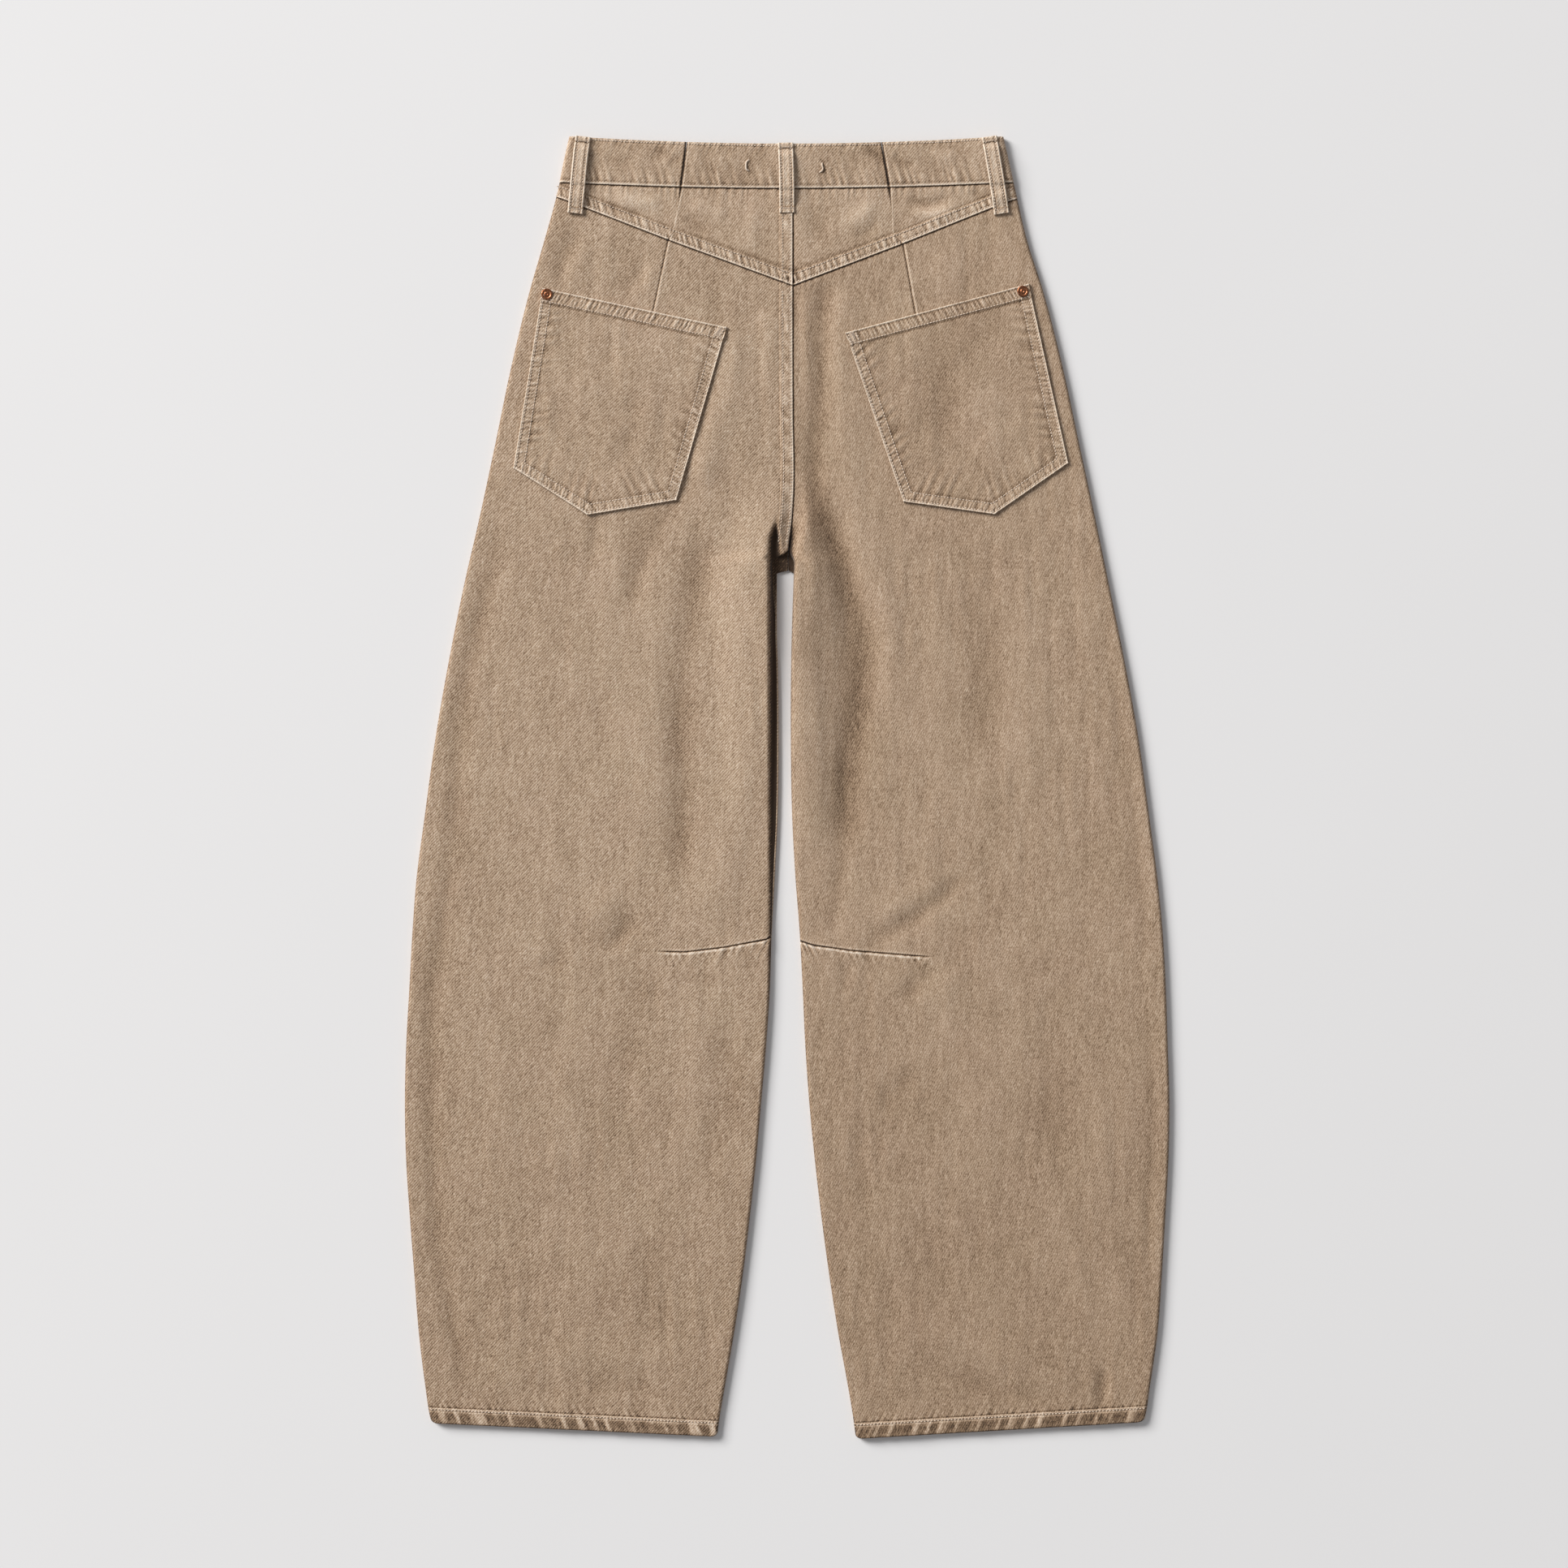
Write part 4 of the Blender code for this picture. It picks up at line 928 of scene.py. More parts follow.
def front_panel(side, look):
    """One front panel, from the waist to the hem, flat on the surface."""
    def top(across):
        return band_seam(across) - front_dip(across) - SEAM_GAP

    hem_level = hem_middle(side)
    nominal = np.concatenate([
        WAIST_LEVEL - np.array([0.0, 0.6, 1.5, 3.0, 6.0]),
        np.arange(452.0, 200.0, -9.0),
        np.arange(196.0, 177.0, -2.0),
        np.arange(176.0, 168.0, -0.45),
        np.arange(167.0, 158.0, -1.6),
        np.arange(154.0, -480.0, -8.0),
        hem_level + np.array([30.0, 24.0, 19.0, 16.0, 14.0, 13.0, 12.5, 12.0, 11.0, 8.0, 5.0,
                              2.5, 1.2, 0.5, 0.0]),
    ])
    start, end, end_height = row_ends(side, nominal, FRONT_CROTCH, top, WAIST_LEVEL)
    outline_end = end
    start, end = round_corners(side, nominal, start, end)
    roll = 1.0 - smooth(end_height, FRONT_CROTCH - CROTCH_SPAN, FRONT_CROTCH + 14.0)
    toward = INWARD[side]
    column = np.newaxis
    length = np.abs(end - start) - 2 * ROLL_WIDTH
    close = np.array([0.0, 1.0, 2.2, 3.8, 6.0, 9.0])
    flat = start[:, column] + toward * (ROLL_WIDTH + spread(length, 56, close, close))
    sides = cross_rows(start, end, np.ones_like(start), roll, flat)
    grids = []
    for (x, drop), depth in zip(sides, (0.0, WALL)):
        y = bend_row(side, nominal[:, column], x, outline_end[:, column], top, WAIST_LEVEL)
        within = smooth(np.abs(x - start[:, column]), 12.0, 40.0)
        within = within * smooth(np.abs(x - end[:, column]), 12.0, 40.0)
        within = within * (1.0 - smooth(y, 250.0, 320.0))
        z = depth + drop + np.clip(FRONT_FOLD * creased(x, y, CREASES), 0.0, 1.0) * within
        if depth:
            above = y - hem_edge(side, x)
            hem = 1.0 - smooth(above, HEM_WIDTH - 0.6, HEM_WIDTH + 0.6)
            hem = hem * smooth(np.abs(x - start[:, column]), 3.0, 9.0)
            z = z + 0.9 * WALL * hem * smooth(np.abs(x - end[:, column]), 3.0, 9.0)
        grids.append(np.stack([x, y, np.broadcast_to(z, x.shape)], axis=-1))
    piece = cloth_shell("front_panel_" + side, grids[0], grids[1], np.zeros_like(x), look, 1)
    places = np.empty(3 * len(piece.data.vertices))
    piece.data.vertices.foreach_get("co", places)
    across, height = places[0::3] / MM, places[1::3] / MM
    # Painted shade on the front layer where it shows in the crotch below the back panels.
    wear_and_shade = -1.6 * bell(height - 180.0, 26.0) * bell(across + 2.0, 16.0)
    piece.data.attributes["wear_and_shade"].data.foreach_set("value", wear_and_shade.astype(np.float32))
    finish_cloth(piece, "front_" + side)


def yoke_form(across, height):
    """Outer surface of the yoke with its creases, before its laps."""
    inside = smooth(BAND_HALF_WIDTH + 4.0 - np.abs(across), 2.0, FOLD_FADE)
    bumps = WAIST_GAIN * creased(across, height, WAIST_CREASES) + unevenness(across, height)
    return LEG_HEIGHT + bumps * inside


def yoke_piece(side, name, start_edge, end_edge, rolled, look):
    """A piece of the yoke between the waistband and a back panel.

    start_edge and end_edge give its sides' places, down from 0 to 1.
    """
    upper = np.concatenate([np.linspace(0.0, 0.9, 14)[1:], [0.93, 0.955, 0.975, 0.99, 1.0]])
    rows = len(LAP_ROWS) + len(upper)
    downs = 1.0 - np.linspace(0.0, 1.0, rows)
    column = np.newaxis
    toward = 1.0 if start_edge(0.5) < end_edge(0.5) else -1.0
    for _ in range(3):
        start = start_edge(downs)
        end = end_edge(downs)
        flat_start = start + toward * ROLL_WIDTH
        length = np.abs(end - start) - 2 * ROLL_WIDTH
        flat = flat_start[:, column] + toward * spread(length, 92)
        no_roll = np.zeros_like(start)
        sides = cross_rows(start, end, no_roll + (1.0 if rolled else 0.0), no_roll, flat)
        grids = []
        for x, drop in sides:
            top = band_seam(x) - SEAM_GAP / 2
            bottom = yoke_seam(x) + SEAM_GAP / 2
            tall = top - bottom
            lap = np.minimum(LAP_ROWS[-1], 0.95 * tall[0])
            lower = LAP_ROWS[:, column] * (lap / LAP_ROWS[-1])
            y = np.concatenate([lower, lap + (tall[0] - lap) * upper[:, column]], axis=0)
            y = bottom + y * (tall / tall[0])
            grids.append((x, y, drop))
        along_start = (band_seam(start) - grids[0][1][:, 0]) / (band_seam(start) - yoke_seam(start))
        downs = np.clip(along_start, 0.0, 1.0)
    shells = []
    for (x, y, drop), depth in zip(grids, (0.0, WALL)):
        z = yoke_form(x, y) - depth - drop
        if not depth:
            above = y - yoke_seam(x) - SEAM_GAP / 2
            lift, wear_and_shade = stitched_band(above, x, 0.6 if side == "left" else 4.1)
            inside = smooth(np.abs(x - start[:, column]), 2.0, 7.0) if rolled else 1.0
            raised = LAP_RISE * (1.0 - smooth(above, LAP_WIDTH - 0.5, LAP_WIDTH + 0.5))
            lift = (raised + lift) * inside
            under = band_seam(x) - y
            pucker = ripple(x, 6.5, 1.0) * bell(under, 7.0)
            lift = lift + 0.35 * pucker - 0.6 * np.exp(-under / 0.7)
            # Painted shade where the yoke goes under the waistband.
            wear_and_shade = wear_and_shade - 1.5 * bell(under, 0.9) + 0.2 * pucker
            from_start = np.abs(x - start[:, column])
            from_end = np.abs(x - end[:, column])
            # The welt on the right of each dart seam, which faces the light, gets the stronger painted
            # highlight.
            from_dart = from_end if rolled else from_start
            lit_side = "right" if rolled else "left"
            seam_lift, seam_wear_and_shade = butted_seam(from_dart, 0.7 if side == lit_side else 0.1)
            lift = lift + seam_lift
            wear_and_shade = wear_and_shade + seam_wear_and_shade
            if rolled:
                # Painted shade along the rolled side edge.
                wear_and_shade = wear_and_shade - 0.5 * bell(from_start, 1.3)
            elif side == "left":
                seam_lift, seam_wear_and_shade = stitched_band(from_end, y, CENTRE_SEED, depth=CENTRE_DEPTH)
                raised = LAP_RISE * (1.0 - smooth(from_end, LAP_WIDTH - 0.6, LAP_WIDTH + 0.6))
                lift = lift + seam_lift + raised
                wear_and_shade = wear_and_shade + seam_wear_and_shade
            else:
                # Painted shade where the right piece goes under the centre back lap.
                wear_and_shade = wear_and_shade - 1.4 * bell(from_end, 0.8)
                lift = lift - 0.7 * np.exp(-from_end / 0.9)
            # Crease ridges a little pale, partly rubbed and partly painted highlight, and troughs painted
            # shade.
            wear_and_shade = wear_and_shade + 0.3 * (yoke_form(x, y) - LEG_HEIGHT)
            z = z + lift
            outer_wear_and_shade = wear_and_shade
        shells.append(np.stack([x, y, z], axis=-1))
    piece = cloth_shell(name + "_cloth", shells[0], shells[1], outer_wear_and_shade, look)
    finish_cloth(piece, name)
    return shells[0]


def yoke(look):
    """The four pieces of the yoke. Returns their outer grids."""
    half = SEAM_GAP / 2

    def side_edge(side, down):
        across = outer_edge(side, BAND_SEAM)
        top = band_seam(across)
        return outer_edge(side, top + (yoke_seam(across) - top) * down)

    def centre(down):
        return centre_seam(BAND_SEAM + (yoke_seam(centre_seam(BAND_SEAM)) - BAND_SEAM) * down)

    left, right = DART_SEAMS["left"], DART_SEAMS["right"]
    return [
        yoke_piece("left", "yoke_side_left", lambda down: side_edge("left", down),
                   lambda down: in_yoke(left, down) - half, True, look),
        yoke_piece("left", "yoke_centre_left", lambda down: in_yoke(left, down) + half,
                   lambda down: centre(down) - half, False, look),
        yoke_piece("right", "yoke_centre_right", lambda down: in_yoke(right, down) - half,
                   lambda down: centre(down) + half, False, look),
        yoke_piece("right", "yoke_side_right", lambda down: side_edge("right", down),
                   lambda down: in_yoke(right, down) + half, True, look),
    ]


def band_relief(across, height, from_seam, from_other):
    """Relief and colour of the waistband's visible face, with painted shade in its
    stitched rows' grooves and a painted shadow to the right of each thread tack.

    from_seam is the distance from the nearer dart seam and from_other says on
    which side of it the cloth lies: 1 on the right of the seam and -1 on the left.
    The cloth on the right of the seam, where the groove's wall faces the light, gets
    the painted highlight on its welt.
    """
    under = band_top(across) - height
    over = height - band_seam(across) - SEAM_GAP / 2
    lift = -0.35 * np.exp(-under / 0.45) - 0.45 * np.exp(-over / 0.35)
    lift = lift - 0.35 * bell(under - 1.9, 0.7) - 0.2 * bell(over - 2.4, 0.6)
    soft = ripple(across + 0.3 * over, 6.8, 5.0)
    low = np.exp(-over / 10.0) * smooth(over, 0.8, 3.5)
    high = ripple(across + 0.5 * under, 5.1, 3.0) * np.exp(-under / 6.0)
    lift = lift + 0.75 * soft * low + 0.45 * high
    bumps = WAIST_GAIN * creased(across, height, WAIST_CREASES) + 1.5 * unevenness(across, height)
    lift = lift + bumps
    # Pale rubbed edges, painted shade in the stitched rows' grooves, and puckers and creases paler on their
    # crests, partly rubbed and partly painted highlight, and darker in their hollows as painted shade.
    wear_and_shade = 1.3 * bell(over - 0.7, 0.6) + 0.5 * bell(under - 0.7, 0.6) - 0.3 * bell(under - 2.2, 0.7)
    wear_and_shade = wear_and_shade + 0.5 * soft * low + 0.4 * high + 0.4 * bumps - 0.5 * bell(over - 2.6, 0.6)
    # A painted shadow of each thread tack, cast to its right.
    for path in TACKS.values():
        for x, y in path:
            wear_and_shade = wear_and_shade - 0.55 * bell(np.hypot(across - x - 0.9, height - y), 1.5)
    seam_lift, seam_wear_and_shade = butted_seam(from_seam, 0.35 + 0.35 * from_other)
    return lift + seam_lift, wear_and_shade + seam_wear_and_shade


def band_rows():
    """Places down the waistband, from 0 to 1."""
    tall = BAND_TOP - BAND_SEAM
    edge = np.array([0.0, 0.2, 0.5, 0.9, 1.35, 1.8, 2.4, 3.2, 4.4, 6.0, 8.0])
    return np.concatenate([edge, np.linspace(10.0, tall - 10.0, 8), tall - edge[::-1]]) / tall


def waistband_back(look):
    """The waistband's centre back piece."""
    down = band_rows()[:, np.newaxis]
    start = in_band(DART_SEAMS["left"], down) + SEAM_GAP / 2
    end = in_band(DART_SEAMS["right"], down) - SEAM_GAP / 2
    x = start + spread((end - start)[:, 0], 150)
    y = band_top(x) + (band_seam(x) + SEAM_GAP / 2 - band_top(x)) * down
    from_left = x - start
    from_right = end - x
    which = np.where(from_left < from_right, 1.0, -1.0)
    lift, wear_and_shade = band_relief(x, y, np.minimum(from_left, from_right), which)
    top = LEG_HEIGHT + BAND_RISE
    outer = np.stack([x, y, top + lift], axis=-1)
    inner = np.stack([x, y, np.full_like(x, top - BAND_WALL)], axis=-1)
    piece = cloth_shell("waistband_back_cloth", outer, inner, wear_and_shade, look)
    finish_cloth(piece, "waistband_back")
    return outer


def button_place():
    across = centre_seam(CENTRE_FRONT_HEIGHT) + BUTTON_OFFSET
    height = (band_top(across) + band_seam(across)) / 2 - front_dip(across)
    return float(across), float(height)


def button_dent(across, down):
    """How far the button presses the waistband in, down being 0 to 1."""
    along = np.abs(across - button_place()[0])
    upright = np.abs(down - 0.5) * (BAND_TOP - BAND_SEAM)
    reach = BUTTON_RADIUS + 1.0
    return (1.0 - smooth(along, reach, reach + 4.0)) * (1.0 - smooth(upright, reach, reach + 3.0))


def waistband_side(side, look):
    """The waistband from a back dart seam round the side to the centre front."""
    toward = -INWARD[side]
    seam = DART_SEAMS[side]
    top = LEG_HEIGHT + BAND_RISE
    down = band_rows()[:, np.newaxis]
    turns = np.radians(np.linspace(90.0, -90.0, 19))[np.newaxis, :]
    edge = outer_edge(side, BAND_SIDE_TOP + (BAND_SIDE_SEAM - BAND_SIDE_TOP) * down)
    start = in_band(seam, down) + toward * SEAM_GAP / 2
    front = centre_seam(CENTRE_FRONT_HEIGHT) + toward * SEAM_GAP / 2
    turn_x = edge - toward * top / 2
    back_x = start + toward * spread(np.abs(turn_x - start)[:, 0], 88, FINE, FINE[:8])[:, :-1]
    front_x = turn_x + (front - turn_x) * np.linspace(0.0, 1.0, 68)[1:]
    grids = []
    for depth in (0.0, BAND_WALL):
        reach = top / 2 - depth
        x = np.concatenate([back_x, turn_x + toward * reach * np.cos(turns), front_x], axis=1)
        rows = len(down)
        on_front = np.concatenate([
            np.zeros(back_x.shape), np.broadcast_to((1 - np.sin(turns)) / 2, (rows, turns.size)),
            np.ones(front_x.shape),
        ], axis=1)
        z = np.concatenate([
            np.full(back_x.shape, top - depth),
            np.broadcast_to(top / 2 + reach * np.sin(turns), (rows, turns.size)),
            np.full(front_x.shape, depth),
        ], axis=1)
        upper = band_top(x) - on_front * front_dip(x)
        lower = band_seam(x) + SEAM_GAP / 2 - on_front * front_dip(x)
        y = upper + (lower - upper) * down
        dent = button_dent(x, down) * on_front
        if depth:
            z = z + 0.7 * dent
        else:
            on_back = 1.0 - smooth(on_front, 0.0, 0.5)
            lift, wear_and_shade = band_relief(x, y, np.abs(x - start), toward)
            z = z + lift * on_back + (BUTTON_HEIGHT + SEAM_GAP) * dent
            wear_and_shade = wear_and_shade * on_back
        grids.append(np.stack([x, y, z], axis=-1))
    name = "waistband_" + side
    piece = cloth_shell(name + "_cloth", grids[0], grids[1], wear_and_shade, look)
    finish_cloth(piece, name)
    shown = grids[0][:, :back_x.shape[1]]
    return shown


def base_height(across, height):
    """Outer surface below a belt loop: waistband, then yoke."""
    on_band = smooth(height, band_seam(across) - 1.6, band_seam(across) - 0.2)
    lap = 1.0 - smooth(height - yoke_seam(across), LAP_WIDTH - 2.0, LAP_WIDTH + 2.0)
    return LEG_HEIGHT + BAND_RISE * on_band + LAP_RISE * lap


def belt_loop(side, look):
    """A strap that stands clear of the waistband between its two ends."""
    loop = LOOPS[side]
    ends = np.array([loop.top, loop.bottom])
    length = float(np.hypot(*(ends[1] - ends[0])))
    close = np.array([0.0, 0.2, 0.5, 0.9, 1.4, 2.0, 2.7, 3.4, 4.0, 4.5, 5.0, 5.6, 6.4, 7.4, 8.6])
    place = spread(np.array(length), 40, close, close)[:, np.newaxis]
    across = np.array([0.0, 0.15, 0.4, 0.75, 1.1, 1.5, 2.0, 2.5, 3.1, 3.8, 4.6, 5.4])
    width = np.concatenate([across, [LOOP_WIDTH / 2], LOOP_WIDTH - across[::-1]]) - LOOP_WIDTH / 2
    width = width[np.newaxis, :]
    direction = (ends[1] - ends[0]) / length
    beside = np.array([-direction[1], direction[0]])
    sway = 0.35 * np.sin(place / 17.0 + len(side))
    x = ends[0][0] + direction[0] * place + beside[0] * (width + sway)
    y = ends[0][1] + direction[1] * place + beside[1] * (width + sway)
    leaves = smooth(place, LOOP_END, LOOP_END + 7.0)
    returns = smooth(place, length - LOOP_END - 9.0, length - LOOP_END)
    stand = LOOP_STAND * leaves * (1.0 - returns)
    middle_x = ends[0][0] + direction[0] * place
    middle_y = ends[0][1] + direction[1] * place
    under = np.maximum(base_height(x, y), base_height(middle_x, middle_y)) + SEAM_GAP + stand
    from_edge = LOOP_WIDTH / 2 - np.abs(width)
    from_end = np.minimum(place, length - place)
    doubled = 0.5 * (1.0 - smooth(from_end, LOOP_END - 0.6, LOOP_END + 0.4))
    welt = 0.35 * bell(from_edge - 0.9, 0.8) - 0.45 * bell(from_edge - 2.3, 0.7)
    welt = welt + 0.25 * bell(from_edge - 3.9, 1.0)
    tack = -0.25 * bell(from_end - LOOP_END + 0.9, 0.6)
    grain = 0.06 * ripple(place + 0.8 * width, 3.1, 1.0) + 0.07 * uneven(x, y, 4.0, 21)
    lift = welt + tack + grain - 0.5 * np.exp(-from_edge / 0.25) - 0.35 * np.exp(-from_end / 0.3)
    outer = np.stack([x, y, under + LOOP_WALL + doubled + lift], axis=-1)
    inner = np.stack([x, y, under], axis=-1)
    # Pale rubbed borders, painted shade in the stitched rows' grooves, and painted shade where the loop
    # lifts off after its tack.
    wear_and_shade = 1.1 * bell(from_edge - 0.7, 0.6) - 0.8 * bell(from_edge - 2.3, 0.6)
    wear_and_shade = wear_and_shade + 0.35 * bell(width, 2.2) + 0.5 * bell(from_end - 0.6, 0.5)
    wear_and_shade = wear_and_shade - 1.2 * bell(from_end - LOOP_END, 0.6) + 0.15 + 0.3 * ripple(place + 1.3 * width, 2.6, 2.0)
    name = "belt_loop_" + side
    piece = cloth_shell(name + "_cloth", outer, inner, wear_and_shade, look)
    finish_cloth(piece, name)
    return outer


def pocket_edges(side):
    """The pocket's edges as pairs of corners: outer, inner, two below and the top."""
    p = POCKETS[side]
    return [
        (p.top_outer, p.bottom_outer), (p.top_inner, p.bottom_inner),
        (p.bottom_outer, p.point), (p.point, p.bottom_inner), (p.top_outer, p.top_inner),
    ]


def from_line(across, height, line):
    """Distance from the line through two points, and the place along it."""
    a, b = np.array(line[0]), np.array(line[1])
    run = (b - a) / np.hypot(*(b - a))
    along = (across - a[0]) * run[0] + (height - a[1]) * run[1]
    return np.abs((across - a[0]) * run[1] - (height - a[1]) * run[0]), along


def pocket_grid(side):
    """Places of a pocket's points: over from the outer side and down from the top."""
    corners = {name: np.array(corner) for name, corner in POCKETS[side]._asdict().items()}
    wide = float(np.hypot(*(corners["top_inner"] - corners["top_outer"])))
    tall = float(np.hypot(*(corners["bottom_inner"] - corners["top_inner"])))
    edge = FINE / wide
    over = np.concatenate([
        edge, np.linspace(edge[-1], POCKET_POINT, 70)[1:],
        np.linspace(POCKET_POINT, 1.0 - edge[-1], 82)[1:-1], 1.0 - edge[::-1],
    ])
    hem = np.append(FINE, [10.8, 11.3, 11.9, 12.8]) / tall
    edge = FINE / tall
    down = np.concatenate([hem, np.linspace(hem[-1], 1.0 - edge[-1], 142)[1:-1], 1.0 - edge[::-1]])
    over, down = over[np.newaxis, :, np.newaxis], down[:, np.newaxis, np.newaxis]
    top = corners["top_outer"] + (corners["top_inner"] - corners["top_outer"]) * over
    to_point = corners["bottom_outer"] + (
        corners["point"] - corners["bottom_outer"]) * over / POCKET_POINT
    to_inner = corners["point"] + (corners["bottom_inner"] - corners["point"]) * (
        over - POCKET_POINT) / (1.0 - POCKET_POINT)
    bottom = np.where(over < POCKET_POINT, to_point, to_inner)
    points = top + (bottom - top) * down
    return points[..., 0], points[..., 1]


def pocket(side, look):
    """A patch pocket that lies on its back panel."""
    x, y = pocket_grid(side)
    surface = panel_form(side, x, y) + SEAM_GAP
    lift = np.zeros_like(x)
    wear_and_shade = np.zeros_like(x)
    from_top, along_top = from_line(x, y, pocket_edges(side)[4])
    below_hem = smooth(from_top, POCKET_HEM - 2.0, POCKET_HEM + 1.0)
    nearest = np.full_like(x, np.inf)
    best = []
    for number, line in enumerate(pocket_edges(side)[:4]):
        distance, along = from_line(x, y, line)
        best.append((distance, along, number))
        nearest = np.minimum(nearest, distance)
    for distance, along, number in best:
        mine = bell(np.maximum(distance - nearest, 0.0), 0.8)
        edge_lift, edge_wear_and_shade = stitched_band(distance, along, 1.1 + number, 9.4, pitch=3.9, depth=0.6)
        edge_lift = edge_lift * (1.0 - smooth(distance, 12.0, 16.0))
        lift = lift + edge_lift * mine * (0.25 + 0.75 * below_hem)
        wear_and_shade = wear_and_shade + edge_wear_and_shade * mine * (0.35 + 0.65 * below_hem)
        reach = 17.0 if number > 1 else 7.0
        drawn = ripple(along + 0.3 * distance, 9.7, 2.4 + number) * bell(distance - 12.0, reach)
        lift = lift + 0.3 * drawn * mine * below_hem
        wear_and_shade = wear_and_shade + 0.22 * drawn * mine * below_hem
    hem_lift, hem_wear_and_shade = stitched_band(from_top, along_top, 6.3, POCKET_HEM, (1.9, POCKET_HEM_ROW), 3.7)
    raised = LAP_RISE * (1.0 - smooth(from_top, POCKET_HEM - 0.4, POCKET_HEM + 0.5))
    hem = 1.0 - smooth(from_top, POCKET_HEM, POCKET_HEM + 3.0)
    lift = lift + raised + hem_lift * hem
    wear_and_shade = wear_and_shade + hem_wear_and_shade * hem + 0.3 * bell(from_top - 10.6, 0.5)
    lift = lift + 0.35 * uneven(x, y * 0.7, 16.0, 31)
    # Crease ridges a little pale, partly rubbed and partly painted highlight, and troughs painted shade.
    wear_and_shade = wear_and_shade + 0.2 * (surface - SEAM_GAP - LEG_HEIGHT)
    edge_rise = 0.5 * np.exp(-nearest / 4.0)
    outer = np.stack([x, y, surface + WALL + lift + edge_rise], axis=-1)
    inner = np.stack([x, y, surface], axis=-1)
    name = "pocket_" + side
    piece = cloth_shell(name + "_cloth", outer, inner, wear_and_shade, look, 3)
    finish_cloth(piece, name)
    return outer


def fly(look):
    """The strip behind the front opening, inside the front panels."""
    middle = float(centre_seam(CENTRE_FRONT_HEIGHT))
    top = float(band_seam(middle) - front_dip(middle)) - 2.0
    down = np.linspace(0.0, 1.0, 60)[:, np.newaxis]
    part = np.linspace(-0.5, 0.5, 16)[np.newaxis, :]
    x = middle + FLY_WIDTH * (1.0 - 0.55 * down ** 3) * part
    y = np.broadcast_to(top - FLY_LENGTH * down, x.shape)
    under = WALL + SEAM_GAP
    wave = 0.1 * ripple(y, 9.0, 2.0) * bell(np.abs(part) - 0.35, 0.1)
    outer = np.stack([x, y, under + WALL + wave], axis=-1)
    inner = np.stack([x, y, np.full(x.shape, under)], axis=-1)
    piece = cloth_shell("fly_cloth", outer, inner, wave, look)
    finish_cloth(piece, "fly")


class Surface:
    """Heights of a piece's outer side at any place, for the sewing that lies on it."""

    def __init__(self, grids):
        points = np.concatenate([grid.reshape(-1, 3) for grid in grids])
        self.heights = points[:, 2]
        self.tree = KDTree(len(points))
        for i, (x, y, _) in enumerate(points.tolist()):
            self.tree.insert((x, y, 0.0), i)
        self.tree.balance()

    def height(self, x, y):
        found = self.tree.find_n((x, y, 0.0), 3)
        weights = [1.0 / (distance + 0.05) for _, _, distance in found]
        total = sum(w * self.heights[i] for w, (_, i, _) in zip(weights, found))
        return total / sum(weights)


def stitch_shape():
    """Points and faces of one stitch along X: a short thread whose ends dive into the cloth."""
    rings = [(-0.5, 0.25, -0.9), (-0.38, 0.85, -0.25), (0.0, 1.0, 0.0),
             (0.38, 0.85, -0.25), (0.5, 0.25, -0.9)]
    sides = 6
    points = []
    for along, thick, level in rings:
        for step in range(sides):
            angle = 2.0 * math.pi * step / sides
            points.append((along, thick * math.cos(angle), level + thick * math.sin(angle)))
    return np.array(points), tube_faces(len(rings), sides)


class Sewing:
    """Many stitches that become one joined mesh."""

    def __init__(self, name):
        self.name = name
        self.shape, self.shape_faces = stitch_shape()
        self.points = []
        self.faces = []

    def stitch(self, start, end, radius):
        """One stitch between two points of the surface."""
        run = end - start
        length = float(np.linalg.norm(run))
        ahead = run / length
        side = np.cross([0.0, 0.0, 1.0], ahead)
        side = side / np.linalg.norm(side)
        up = np.cross(ahead, side)
        middle = (start + end) / 2.0 + up * radius * 0.45
        first = len(self.points) * len(self.shape)
        local = self.shape * np.array([length, radius, radius])
        self.points.append(middle + local @ np.array([ahead, side, up]))
        self.faces.extend(tuple(first + i for i in face) for face in self.shape_faces)

    def row(self, path, surface, pitch=STITCH_PITCH, cover=0.74, radius=STITCH_RADIUS):
        """A row of stitches along a path of (x, y) points on a surface."""
        path = np.asarray(path, float)
        steps = np.hypot(*np.diff(path, axis=0).T)
        places = np.concatenate([[0.0], np.cumsum(steps)])
        count = max(1, int(round(places[-1] / pitch)))
        pitch = places[-1] / count
        for number in range(count):
            spots = []
            for part in (0.5 - cover / 2, 0.5 + cover / 2):
                place = (number + part) * pitch
                x = float(np.interp(place, places, path[:, 0]))
                y = float(np.interp(place, places, path[:, 1]))
                spots.append(np.array([x, y, surface.height(x, y)]))
            self.stitch(spots[0], spots[1], radius)

    def bartack(self, start, end, width, surface):
        """A dense short zigzag across a seam's end."""
        start, end = np.array(start), np.array(end)
        run = end - start
        length = float(np.hypot(*run))
        run = run / length
        beside = np.array([-run[1], run[0]]) * width / 2
        count = int(length / 0.8)
        for number in range(count):
            middle = start + run * (number + 0.5) * length / count
            a = middle - beside
            b = middle + beside + run * 0.25
            self.stitch(np.array([*a, surface.height(*a) + 0.15]),
                        np.array([*b, surface.height(*b) + 0.1]), 0.22)

    def build(self, look):
        points = (np.concatenate(self.points) * MM).tolist()
        made = new_object(self.name, points, self.faces, look)
        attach(made, "root")


